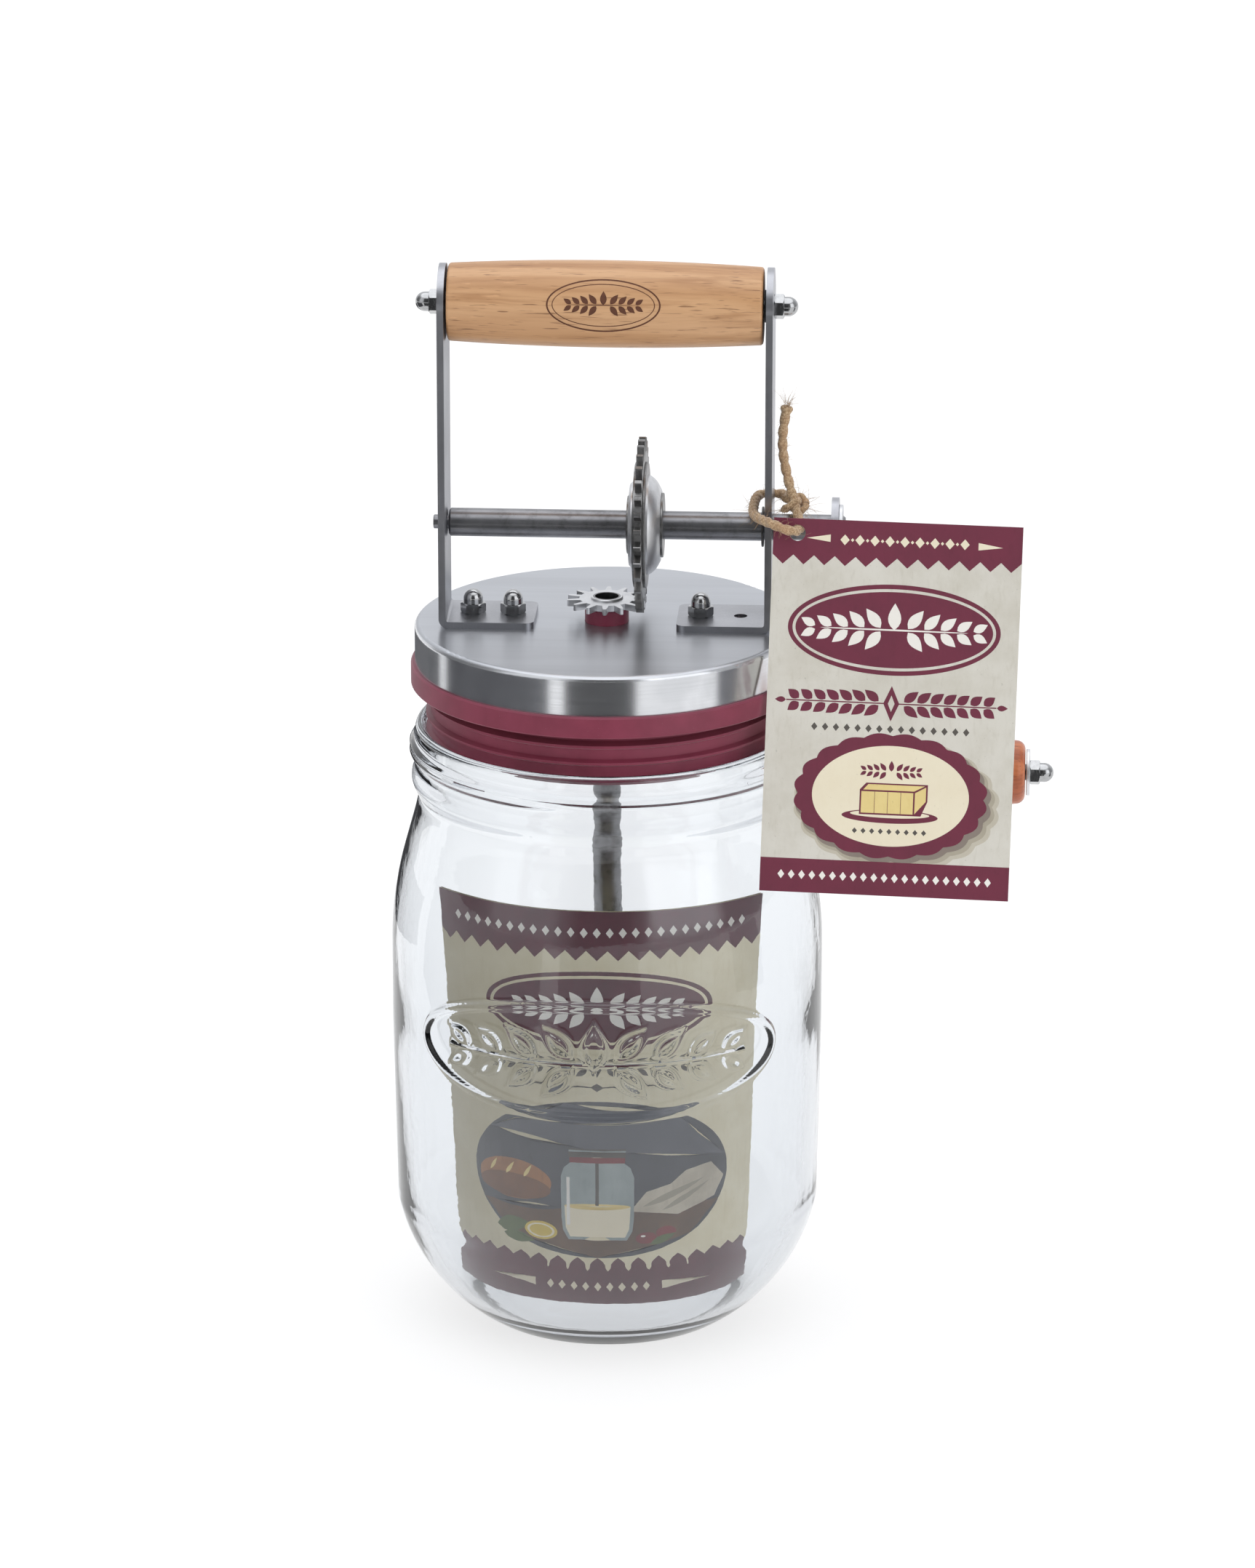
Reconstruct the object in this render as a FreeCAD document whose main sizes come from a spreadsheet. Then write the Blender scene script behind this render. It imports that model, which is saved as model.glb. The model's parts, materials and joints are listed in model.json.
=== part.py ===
"""A jar-top butter churn: a glass jar, a push-fit lid that carries a hand crank, and a beater.

Frame: millimetres, +Z up, origin at the centre of the face the jar stands on. The crank is on +X.
"""

import FreeCAD, Part
import math
import os
import Sketcher

doc = FreeCAD.newDocument("butter_churn")

# ------------------------------------------------------------------ driving dimensions
DIMENSIONS = {
    # jar
    "jar_height": 155.5,
    "jar_body_radius": 54.0,
    "jar_low_radius": 53.0,
    "jar_wall": 3.5,
    "heel_top": 30.0,
    "heel_curve": 46.0,
    "heel_inner_lift": 1.5,
    "straight_wall": 20.0,
    "shoulder_wall": 3.36,
    "throat_rise": 5.4,
    "punt_slope": 6.0,
    "bead_slope": 3.0,
    "waist_taper": 0.3,
    "foot_outer_radius": 32.0,
    "foot_inner_radius": 27.0,
    "punt_depth": 2.6,
    "floor_height": 6.0,
    "floor_edge_radius": 34.6,
    "heel_inner_curve": 42.6,
    "shoulder_start": 98.0,
    "shoulder_end": 122.8,
    "shoulder_end_radius": 50.4,
    "shoulder_curve": 87.0,
    "waist_radius": 47.1,
    "waist_height": 136.0,
    "bead_radius": 48.7,
    "bead_height": 141.5,
    "neck_radius": 47.8,
    "thread_radius": 49.0,
    "thread_height": 149.0,
    "mouth_radius": 45.1,
    "lip_round": 1.3,
    # instruction booklet, curled inside the jar
    "booklet_bottom": 15.0,
    "booklet_top": 119.0,
    "booklet_thickness": 0.8,
    "booklet_low_middle": 38.0,
    "booklet_low_edge": 16.8,
    "booklet_low_half": 35.0,
    "booklet_high_middle": 42.5,
    "booklet_high_edge": 26.0,
    "booklet_high_half": 39.3,
    # lid: steel cap and silicone seal
    "lid_top": 181.0,
    "cap_radius": 47.7,
    "cap_height": 10.0,
    "cap_sheet": 0.7,
    "cap_edge_round": 1.4,
    "seal_flange_radius": 48.7,
    "seal_flange_height": 5.5,
    "seal_wall_radius": 43.9,
    "seal_rib_radius": 45.04,
    "seal_inner_radius": 40.3,
    "seal_depth": 28.5,
    "seal_groove_radius": 42.8,
    "seal_edge": 0.4,
    "seal_first_rib_drop": 3.5,
    "seal_second_rib_drop": 7.8,
    "seal_rib_slope": 0.6,
    "seal_groove_height": 1.3,
    "seal_wall_height": 1.2,
    "seal_lip": 0.8,
    # straps that hold the handle and the drive shaft
    "strap_outer": 41.1,
    "strap_sheet": 1.7,
    "strap_width": 19.0,
    "strap_bend": 2.4,
    "foot_length": 23.5,
    "foot_corner": 2.2,
    "screw_far": 33.2,
    "screw_near": 23.3,
    # M3 fasteners
    "screw_radius": 1.5,
    "screw_hole_radius": 1.65,
    "screw_head_radius": 2.8,
    "screw_head_height": 1.8,
    "nut_flats": 5.5,
    "nut_hex_height": 2.5,
    "nut_height": 5.9,
    "nut_dome_radius": 2.4,
    # carrying handle
    "handle_axis": 262.0,
    "handle_length": 77.4,
    "handle_mid_radius": 10.75,
    "handle_end_radius": 9.6,
    "handle_washer_radius": 4.0,
    "handle_washer_thickness": 0.5,
    # drive shaft, along X
    "shaft_axis": 205.8,
    "shaft_radius": 3.5,
    "shaft_left_journal": 1.75,
    "shaft_right_journal": 3.25,
    "shaft_arm_radius": 2.5,
    "running_clearance": 0.05,
    "shaft_left_end": 42.9,
    "shaft_shoulder": 39.0,
    "shaft_right_step": 38.3,
    "retainer_radius": 5.0,
    "retainer_thickness": 0.5,
    # drive gear and its stack of plates
    "gear_x": 8.6,
    "gear_thickness": 1.7,
    "gear_teeth": 32,
    "gear_root_radius": 18.2,
    "gear_tip_radius": 21.8,
    "gear_root_half": 1.0,
    "gear_tip_half": 0.6,
    "flange_radius": 15.6,
    "left_flange_thickness": 0.8,
    "right_flange_thickness": 0.65,
    "left_dish_radius": 10.7,
    "left_dish_depth": 1.25,
    "right_dish_radius": 12.3,
    "right_dish_top": 9.5,
    "right_dish_depth": 3.4,
    "left_hub_washer": 7.2,
    "right_hub_washer": 8.0,
    "hub_washer_thickness": 0.6,
    # crank
    "arm_inner": 55.6,
    "arm_thickness": 1.8,
    "arm_width": 15.2,
    "arm_length": 62.5,
    "arm_washer_radius": 5.8,
    "arm_washer_thickness": 1.0,
    "peen_radius": 3.1,
    "peen_height": 0.6,
    "spindle_radius": 2.0,
    "spindle_head_radius": 3.6,
    "spindle_head_height": 1.1,
    "grip_start": 58.7,
    "grip_end": 104.2,
    "grip_inner_radius": 7.2,
    "grip_mid_radius": 8.9,
    "grip_near_round": 1.2,
    "grip_far_round": 2.2,
    "grip_belly": 20.0,
    "grip_long_curve": 190.0,
    "grip_end_curve": 150.0,
    "grip_outer_radius": 7.9,
    "grip_washer_gap": 0.3,
    "grip_washer_thickness": 0.9,
    # beater, along Z
    "pinion_bottom": 185.2,
    "pinion_thickness": 1.6,
    "pinion_teeth": 14,
    "pinion_root_radius": 6.8,
    "pinion_tip_radius": 9.9,
    "pinion_root_half": 0.82,
    "pinion_tip_half": 0.45,
    "pinion_collar_radius": 4.0,
    "pinion_collar_height": 0.5,
    "beater_radius": 3.45,
    "beater_bore_radius": 2.95,
    "beater_bore_depth": 5.0,
    "beater_bottom": 27.0,
    "bush_radius": 5.45,
    "bush_gap": 0.3,
    "bush_collar_radius": 9.0,
    "bush_collar_thickness": 1.6,
    "bush_bottom": 168.0,
    "stop_collar_radius": 6.0,
    "stop_collar_height": 5.0,
    "paddle_bottom": 30.0,
    "paddle_height": 52.0,
    "paddle_reach": 35.0,
    "paddle_thickness": 2.6,
    "paddle_corner": 9.0,
    "paddle_hub_radius": 6.2,
    "paddle_slots": 3,
    "paddle_slot_height": 8.0,
    "paddle_slot_inner": 11.0,
    "paddle_slot_outer": 28.0,
    "pin_radius": 1.25,
    "pin_drop": 5.0,
    # hang tag and its twine
    "tag_width": 61.0,
    "tag_height": 91.5,
    "tag_thickness": 0.8,
    "tag_lean": 15.2,
    "tag_roll": 0.8,
    "tag_turn": 2.2,
    "tag_hole_across": 5.9,
    "tag_hole_down": 3.55,
    "tag_hole_radius": 2.2,
    "twine_diameter": 2.0,
    "knot_radius": 3.3,
}

dims = doc.addObject("Spreadsheet::Sheet", "dims")
for row, (alias, number) in enumerate(DIMENSIONS.items(), start=1):
    dims.set(f"A{row}", alias)
    dims.set(f"B{row}", str(number))
    dims.setAlias(f"B{row}", alias)
doc.recompute()


class Measure:
    """A length worked out from the sheet: its value now, and the expression that keeps it bound."""

    def __init__(self, value, text):
        self.value = value
        self.text = text

    def __add__(self, other):
        other = measure(other)
        return Measure(self.value + other.value, f"({self.text} + {other.text})")

    def __sub__(self, other):
        other = measure(other)
        return Measure(self.value - other.value, f"({self.text} - {other.text})")

    def __mul__(self, factor):
        return Measure(self.value * factor, f"({self.text} * {factor})")

    def __truediv__(self, factor):
        return Measure(self.value / factor, f"({self.text} / {factor})")

    def __neg__(self):
        return self * -1


def measure(value):
    """A plain number as a Measure; a Measure as it is."""
    if isinstance(value, Measure):
        return value
    return Measure(float(value), f"{float(value):.6f}")


def size(alias):
    """The sheet's cell of that name, as a Measure."""
    return Measure(float(dims.get(alias)), f"dims.{alias}")


# ------------------------------------------------------------------ helpers
UP = FreeCAD.Rotation()
ALONG_X = FreeCAD.Rotation(FreeCAD.Vector(0, 1, 0), 90)
ALONG_MINUS_X = FreeCAD.Rotation(FreeCAD.Vector(0, 1, 0), -90)
nodes = []


def bind(obj, name, value):
    """Ties one property of obj to the sheet."""
    obj.setExpression(name, measure(value).text)


def place(obj, x=0, y=0, z=0, turn=UP):
    """Puts obj at a point that follows the sheet, turned from its own frame."""
    obj.Placement = FreeCAD.Placement(FreeCAD.Vector(), turn)
    for axis, value in zip("xyz", (x, y, z)):
        bind(obj, f"Placement.Base.{axis}", value)
    return obj


def node(label, obj):
    """Makes obj a sub-part of the churn, to be written under that name."""
    obj.Label = label
    nodes.append((label, obj))
    return obj


def cylinder(name, radius, height, x=0, y=0, z=0, turn=UP):
    """A plain round bar or hole, from its foot along its own axis."""
    bar = doc.addObject("Part::Cylinder", name)
    bind(bar, "Radius", radius)
    bind(bar, "Height", height)
    return place(bar, x, y, z, turn)


def cut(name, base, tool):
    """base with tool taken away."""
    result = doc.addObject("Part::Cut", name)
    result.Base = base
    result.Tool = tool
    return result


def fuse(name, shapes):
    """One solid from shapes that meet."""
    result = doc.addObject("Part::MultiFuse", name)
    result.Shapes = shapes
    return result


def group(name, shapes):
    """Separate solids kept together, such as identical fasteners."""
    result = doc.addObject("Part::Compound", name)
    result.Links = shapes
    return result


def new_body(name):
    """An empty PartDesign body."""
    return doc.addObject("PartDesign::Body", name)


def sketch_in(body, role, name):
    """An empty sketch on one of the body's own origin planes."""
    sketch = body.newObject("Sketcher::SketchObject", name)
    base_plane = next(o for o in body.Origin.OriginFeatures if o.Role == role)
    sketch.AttachmentSupport = [(base_plane, "")]
    sketch.MapMode = "FlatFace"
    return sketch


def pin_point(sketch, edge, end, point):
    """Holds one end of a sketch edge at a point that follows the sheet."""
    for kind, value in zip(("DistanceX", "DistanceY"), point):
        number = measure(value)
        row = sketch.addConstraint(Sketcher.Constraint(kind, -1, 1, edge, end, number.value))
        if isinstance(value, Measure):
            sketch.setExpression(f"Constraints[{row}]", number.text)


def outline(sketch, points, arcs=None):
    """A closed outline. arcs gives (radius, bulge) for the edge after each numbered point.

    bulge is +1 where the arc bows to the left of its own chord, and -1 where it bows to the right.
    """
    arcs = arcs or {}
    flat = [FreeCAD.Vector(measure(u).value, measure(v).value, 0) for u, v in points]
    edges = []
    for i, start in enumerate(flat):
        end = flat[(i + 1) % len(flat)]
        if i not in arcs:
            edges.append(sketch.addGeometry(Part.LineSegment(start, end), False))
            continue
        radius, bulge = arcs[i]
        chord = end - start
        half = chord.Length / 2
        rise = measure(radius).value - math.sqrt(measure(radius).value ** 2 - half**2)
        left = FreeCAD.Vector(-chord.y, chord.x, 0).normalize()
        middle = (start + end) / 2 + left * (rise * bulge)
        edges.append(sketch.addGeometry(Part.Arc(start, middle, end), False))
    for i, edge in enumerate(edges):
        near = nearest_end(sketch, edge, flat[i])
        pin_point(sketch, edge, near, points[i])
        far_edge = edges[i - 1]
        far = nearest_end(sketch, far_edge, flat[i])
        sketch.addConstraint(Sketcher.Constraint("Coincident", far_edge, far, edge, near))
        if i in arcs:
            number = measure(arcs[i][0])
            row = sketch.addConstraint(Sketcher.Constraint("Radius", edge, number.value))
            sketch.setExpression(f"Constraints[{row}]", number.text)
    return sketch


def nearest_end(sketch, edge, point):
    """1 for an edge's first end and 2 for its last: the one that lies at point."""
    first = (sketch.getPoint(edge, 1) - point).Length
    last = (sketch.getPoint(edge, 2) - point).Length
    return 1 if first < last else 2


def ring(sketch, radius, u=0, v=0):
    """A full circle in a sketch, bound to the sheet."""
    centre = FreeCAD.Vector(measure(u).value, measure(v).value, 0)
    normal = FreeCAD.Vector(0, 0, 1)
    edge = sketch.addGeometry(Part.Circle(centre, normal, measure(radius).value), False)
    pin_point(sketch, edge, 3, (u, v))
    row = sketch.addConstraint(Sketcher.Constraint("Radius", edge, measure(radius).value))
    sketch.setExpression(f"Constraints[{row}]", measure(radius).text)
    return sketch


def turned(name, points, arcs=None):
    """A body turned about its own Z axis from a half outline in radius and height."""
    body = new_body(name)
    sketch = outline(sketch_in(body, "XZ_Plane", f"{name}_outline"), points, arcs)
    turn = body.newObject("PartDesign::Revolution", f"{name}_turn")
    turn.Profile = sketch
    turn.ReferenceAxis = (sketch, ["V_Axis"])
    turn.Angle = 360
    body.Tip = turn
    return body


def tube_points(inner, outer, low, high, chamfer=0.0):
    """The half outline of a ring or sleeve, its outer corners broken if a chamfer is given."""
    if not chamfer:
        return [(inner, low), (outer, low), (outer, high), (inner, high)]
    return [
        (inner, low),
        (outer - chamfer, low),
        (outer, low + chamfer),
        (outer, high - chamfer),
        (outer - chamfer, high),
        (inner, high),
    ]


def padded(body, sketch, name, length, symmetric=False):
    """The sketch raised along its plane's normal."""
    pad = body.newObject("PartDesign::Pad", name)
    pad.Profile = sketch
    bind(pad, "Length", length)
    if symmetric:
        pad.Midplane = True
    body.Tip = pad
    return pad


def rounded(body, base, name, radius, wanted):
    """Rounds the edges of base that wanted picks."""
    doc.recompute()
    picked = [
        f"Edge{i}" for i, edge in enumerate(base.Shape.Edges, start=1) if wanted(edge)
    ]
    fillet = body.newObject("PartDesign::Fillet", name)
    fillet.Base = (base, picked)
    bind(fillet, "Radius", radius)
    body.Tip = fillet
    return fillet


def runs_along(edge, axis):
    """Whether a straight edge lies along one axis of its body."""
    if not isinstance(edge.Curve, Part.Line):
        return False
    return abs(abs(edge.Curve.Direction.dot(axis)) - 1) < 1e-6


X_AXIS = FreeCAD.Vector(1, 0, 0)
Z_AXIS = FreeCAD.Vector(0, 0, 1)
lid_top = size("lid_top")
shaft_axis = size("shaft_axis")
clearance = size("running_clearance")


# ------------------------------------------------------------------ jar
def glass_jar():
    """The jar: one turned wall with a punted foot, a long shoulder, a bead, a thread and a lip."""
    wall = size("jar_wall")
    outer = size("jar_body_radius")
    low = size("jar_low_radius")
    heel = size("heel_top")
    foot = size("foot_outer_radius")
    top = size("jar_height")
    mouth = size("mouth_radius")
    lip = size("lip_round")
    neck = size("neck_radius")
    bead = size("bead_height")
    thread = size("thread_height")
    floor = size("floor_height")
    start = size("shoulder_start")
    end = size("shoulder_end")
    end_radius = size("shoulder_end_radius")
    curve = size("shoulder_curve")
    waist = size("waist_radius")
    waist_height = size("waist_height")
    straight = size("straight_wall")
    slope = size("bead_slope")
    points = [
        (0, size("punt_depth")),
        (size("foot_inner_radius") - size("punt_slope"), size("punt_depth")),
        (size("foot_inner_radius"), 0),
        (foot, 0),
        (low, heel),
        (outer, start - straight),
        (outer, start),
        (end_radius, end),
        (waist + size("waist_taper"), waist_height - slope),
        (waist, waist_height),
        (size("bead_radius"), bead),
        (neck, bead + slope),
        (size("thread_radius"), thread),
        (neck, thread + slope),
        (neck, top - lip),
        (neck - lip, top),
        (mouth + lip, top),
        (mouth, top - lip),
        (mouth, end + size("throat_rise")),
        (end_radius - size("shoulder_wall"), end - 1),
        (outer - wall, start),
        (outer - wall, start - straight),
        (low - wall, heel + size("heel_inner_lift")),
        (size("floor_edge_radius"), floor),
        (0, floor),
    ]
    arcs = {
        3: (size("heel_curve"), -1),
        6: (curve, -1),
        14: (lip, -1),
        16: (lip, -1),
        19: (curve - wall, 1),
        22: (size("heel_inner_curve"), 1),
    }
    return turned("glass_jar_body", points, arcs)


def booklet_arc(sketch, middle, edge, half, thickness):
    """A curled sheet's cross-section: two concentric bows joined at their ends."""
    sag = middle.value - edge.value
    radius = (half.value**2 + sag**2) / (2 * sag)
    centre = FreeCAD.Vector(0, radius - middle.value, 0)
    spread = math.asin(half.value / radius)
    bows = []
    for reach in (radius, radius - thickness.value):
        ends = [
            centre + FreeCAD.Vector(math.sin(a), -math.cos(a), 0) * reach
            for a in (-spread, 0, spread)
        ]
        bows.append(ends)
    outer, inner = bows
    sketch.addGeometry(Part.Arc(*outer), False)
    sketch.addGeometry(Part.LineSegment(outer[2], inner[2]), False)
    sketch.addGeometry(Part.Arc(inner[2], inner[1], inner[0]), False)
    sketch.addGeometry(Part.LineSegment(inner[0], outer[0]), False)
    corners = [outer[2], inner[2], inner[0], outer[0]]
    for first, corner in enumerate(corners):
        second = (first + 1) % 4
        first_end = nearest_end(sketch, first, corner)
        second_end = nearest_end(sketch, second, corner)
        sketch.addConstraint(
            Sketcher.Constraint("Coincident", first, first_end, second, second_end)
        )
    return sketch


def instruction_booklet():
    """The thin booklet, curled against the inside of the jar's front."""
    body = new_body("instruction_booklet_body")
    sections = []
    for level in ("low", "high"):
        sketch = sketch_in(body, "XY_Plane", f"booklet_{level}")
        height = size("booklet_bottom" if level == "low" else "booklet_top")
        bind(sketch, "AttachmentOffset.Base.z", height)
        booklet_arc(
            sketch,
            size(f"booklet_{level}_middle"),
            size(f"booklet_{level}_edge"),
            size(f"booklet_{level}_half"),
            size("booklet_thickness"),
        )
        sections.append(sketch)
    loft = body.newObject("PartDesign::AdditiveLoft", "booklet_loft")
    loft.Profile = sections[0]
    loft.Sections = [sections[1]]
    loft.Ruled = True
    body.Tip = loft
    return body


node("glass_jar", glass_jar())
node("instruction_booklet", instruction_booklet())


# ------------------------------------------------------------------ lid
def lid_cap():
    """The pressed steel cup: a flat top, a rolled edge and a short skirt, with its holes."""
    sheet = size("cap_sheet")
    radius = size("cap_radius")
    bend = size("cap_edge_round")
    drop = -size("cap_height")
    hole = size("bush_radius") + clearance
    points = [
        (hole, -sheet),
        (radius - bend, -sheet),
        (radius - sheet, -bend),
        (radius - sheet, drop),
        (radius, drop),
        (radius, -bend),
        (radius - bend, 0),
        (hole, 0),
    ]
    cup = turned("lid_cap_cup", points, {1: (bend - sheet, 1), 5: (bend, -1)})
    depth = size("cap_sheet") + 1
    holes = [
        cylinder(f"lid_cap_hole_{i}", size("screw_hole_radius"), depth, x=x, z=-depth + 0.5)
        for i, x in enumerate(screw_places(), start=1)
    ]
    return place(cut("lid_cap_body", cup, group("lid_cap_holes", holes)), z=lid_top)


def screw_places():
    """The X of the four screw holes, from the far left to the far right."""
    far = size("screw_far")
    near = size("screw_near")
    return [-far, -near, near, far]


def silicone_seal():
    """The ribbed plug that grips the jar's mouth, with the flange that the cap's skirt stands on."""
    flange = size("seal_flange_radius")
    wall = size("seal_wall_radius")
    rib = size("seal_rib_radius")
    inner = size("seal_inner_radius")
    groove = size("seal_groove_radius")
    cap_inside = size("cap_radius") - size("cap_sheet") - 0.1
    skirt = -size("cap_height")
    under = skirt - size("seal_flange_height")
    bottom = -size("seal_depth")
    edge = size("seal_edge")
    slope = size("seal_rib_slope")
    first = under - size("seal_first_rib_drop")
    second = under - size("seal_second_rib_drop")
    third = bottom + size("seal_lip")
    points = [
        (inner, -size("cap_sheet") - 0.1),
        (cap_inside - 1.2, -size("cap_sheet") - 0.1),
        (cap_inside, -size("cap_sheet") - 1.3),
        (cap_inside, skirt - 0.05),
        (flange - edge, skirt - 0.05),
        (flange, skirt - 0.05 - edge),
        (flange, under + edge),
        (flange - edge, under),
        (groove, under),
        (groove, first + size("seal_groove_height")),
        (rib, first + slope),
        (rib, first),
        (wall, first - slope),
        (wall, second + size("seal_wall_height")),
        (rib, second + slope),
        (rib, second),
        (wall, second - slope),
        (wall, third + size("seal_wall_height")),
        (rib, third + slope),
        (rib, third),
        (rib - size("seal_lip"), bottom),
        (inner, bottom),
    ]
    return place(turned("silicone_seal_body", points), z=lid_top)


def shaft_bush():
    """The soft bush round the upright shaft, standing proud of the cap, with a collar under it."""
    bore = size("beater_radius") + clearance
    radius = size("bush_radius")
    top = size("pinion_bottom") - size("bush_gap")
    under_cap = lid_top - size("cap_sheet") - 0.02
    collar = size("bush_collar_radius")
    points = [
        (bore, size("bush_bottom")),
        (radius + 0.4, size("bush_bottom")),
        (radius + 0.4, under_cap - size("bush_collar_thickness")),
        (collar, under_cap - size("bush_collar_thickness")),
        (collar, under_cap),
        (radius, under_cap),
        (radius, top - 0.4),
        (radius - 0.4, top),
        (bore, top),
    ]
    return turned("shaft_bush_body", points)


def strap(side, shaft_hole):
    """A bent steel strap with a round top, a turned-in foot and its four holes; side is -1 or +1."""
    name = "right_strap" if side > 0 else "left_strap"
    outer = size("strap_outer")
    sheet = size("strap_sheet")
    bend = size("strap_bend")
    half = size("strap_width") / 2
    toe = outer - size("foot_length")
    handle_height = size("handle_axis") - lid_top
    top = handle_height + half
    inner_bend = bend - sheet
    section = [
        (toe, 0),
        (outer - bend, 0),
        (outer, bend),
        (outer, top),
        (outer - sheet, top),
        (outer - sheet, bend),
        (outer - bend, sheet),
        (toe, sheet),
    ]
    body = new_body(f"{name}_sheet")
    mirrored = [(u * side, v) for u, v in section]
    arcs = {1: (bend, -side), 5: (inner_bend, side)}
    sketch = outline(sketch_in(body, "XZ_Plane", f"{name}_section"), mirrored, arcs)
    plate = padded(body, sketch, f"{name}_plate", half * 2, symmetric=True)

    def at_top(edge):
        return runs_along(edge, X_AXIS) and edge.CenterOfMass.z > top.value - 0.01

    def at_toe(edge):
        near_toe = abs(edge.CenterOfMass.x - side * toe.value) < 0.01
        return runs_along(edge, Z_AXIS) and near_toe

    round_top = rounded(body, plate, f"{name}_round_top", half - 0.05, at_top)
    rounded(body, round_top, f"{name}_round_toe", size("foot_corner"), at_toe)
    screw = size("screw_hole_radius")
    across = sheet * 3
    start = (outer - sheet * 2) * side
    turn = ALONG_X if side > 0 else ALONG_MINUS_X
    holes = [
        cylinder(f"{name}_handle_hole", screw, across, x=start, z=handle_height, turn=turn),
        cylinder(
            f"{name}_shaft_hole",
            shaft_hole,
            across,
            x=start,
            z=shaft_axis - lid_top,
            turn=turn,
        ),
        cylinder(f"{name}_near_hole", screw, across, x=size("screw_near") * side, z=-sheet),
        cylinder(f"{name}_far_hole", screw, across, x=size("screw_far") * side, z=-sheet),
    ]
    solid = cut(f"{name}_body", body, group(f"{name}_holes", holes))
    return place(solid, z=lid_top)


def dome_nut(name, x, y, z, turn):
    """An M3 dome nut, standing on its hexagon along its own Z."""
    corner = size("nut_flats") / math.sqrt(3)
    hex_height = size("nut_hex_height")
    dome = size("nut_dome_radius")
    prism = doc.addObject("Part::Prism", f"{name}_hexagon")
    prism.Polygon = 6
    bind(prism, "Circumradius", corner)
    bind(prism, "Height", hex_height)
    easing = turned(
        f"{name}_easing",
        [
            (0, 0),
            (corner - 0.35, 0),
            (corner, 0.3),
            (corner, hex_height - 0.35),
            (corner - 0.5, hex_height),
            (0, hex_height),
        ],
    )
    eased = doc.addObject("Part::Common", f"{name}_eased")
    eased.Base = prism
    eased.Tool = easing
    crown_foot = size("nut_height") - dome
    crown = turned(
        f"{name}_crown",
        [
            (0, hex_height - 0.5),
            (dome, hex_height - 0.5),
            (dome, crown_foot),
            (0, size("nut_height")),
        ],
        {2: (dome, -1)},
    )
    whole = fuse(f"{name}_whole", [eased, crown])
    thread = cylinder(f"{name}_thread", size("screw_radius") + clearance, crown_foot + 0.6, z=-0.1)
    return place(cut(f"{name}_nut", whole, thread), x, y, z, turn)


def lid_fasteners():
    """Three screws up through the cap and the feet, and their dome nuts. The far right hole is empty."""
    filled = screw_places()[:3]
    foot_top = lid_top + size("strap_sheet")
    under_cap = lid_top - size("cap_sheet")
    screws = []
    nuts = []
    for i, x in enumerate(filled, start=1):
        head = size("screw_head_height")
        shank_top = foot_top + size("nut_height") - size("nut_dome_radius")
        shank = cylinder(
            f"lid_screw_shank_{i}",
            size("screw_radius"),
            shank_top - under_cap + 0.5,
            x=x,
            z=under_cap - 0.5,
        )
        pan = cylinder(f"lid_screw_head_{i}", size("screw_head_radius"), head, x=x, z=under_cap - head)
        screws.append(fuse(f"lid_screw_{i}", [shank, pan]))
        nuts.append(dome_nut(f"lid_nut_{i}", x, 0, foot_top, UP))
    node("lid_screws", group("lid_screws_group", screws))
    node("lid_dome_nuts", group("lid_dome_nuts_group", nuts))


node("lid_cap", lid_cap())
node("silicone_seal", silicone_seal())
node("shaft_bush", shaft_bush())
node("left_strap", strap(-1, size("shaft_left_journal") + clearance))
node("right_strap", strap(1, size("shaft_right_journal") + clearance))
lid_fasteners()


# ------------------------------------------------------------------ carrying handle
def handle_grip():
    """The barrel-shaped wooden grip, bored for its rod."""
    half = size("handle_length") / 2
    end = size("handle_end_radius")
    bore = size("screw_radius") + clearance
    rise = size("handle_mid_radius") - end
    bow = (half.value**2 + rise.value**2) / (2 * rise.value)
    points = [
        (bore, -half),
        (end - 0.8, -half),
        (end, -half + 0.8),
        (end, half - 0.8),
        (end - 0.8, half),
        (bore, half),
    ]
    barrel = turned("handle_grip_body", points, {1: (0.8, -1), 2: (bow, -1), 3: (0.8, -1)})
    return place(barrel, x=-0.15, z=size("handle_axis"), turn=ALONG_X)


def handle_hardware():
    """The rod through the grip and both straps, its black washer, and a dome nut at each end."""
    axis = size("handle_axis")
    outer = size("strap_outer")
    reach = outer + size("nut_height") - size("nut_dome_radius")
    rod = cylinder(
        "handle_rod_body", size("screw_radius"), reach * 2, x=-reach, z=axis, turn=ALONG_X
    )
    node("handle_rod", rod)
    bore = size("screw_radius") + clearance
    thickness = size("handle_washer_thickness")
    washer = turned(
        "handle_washer_body", tube_points(bore, size("handle_washer_radius"), 0, thickness)
    )
    start = outer - size("strap_sheet") - thickness - 0.1
    node("handle_washer", place(washer, x=start, z=axis, turn=ALONG_X))
    nuts = [
        dome_nut("left_handle_nut", -outer, 0, axis, ALONG_MINUS_X),
        dome_nut("right_handle_nut", outer, 0, axis, ALONG_X),
    ]
    node("handle_dome_nuts", group("handle_dome_nuts_group", nuts))


node("handle_grip", handle_grip())
handle_hardware()


# ------------------------------------------------------------------ crank
def on_shaft(body, x):
    """Puts a body that was drawn along its own Z on the drive shaft, starting at x."""
    return place(body, x=x, z=shaft_axis, turn=ALONG_X)


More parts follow.
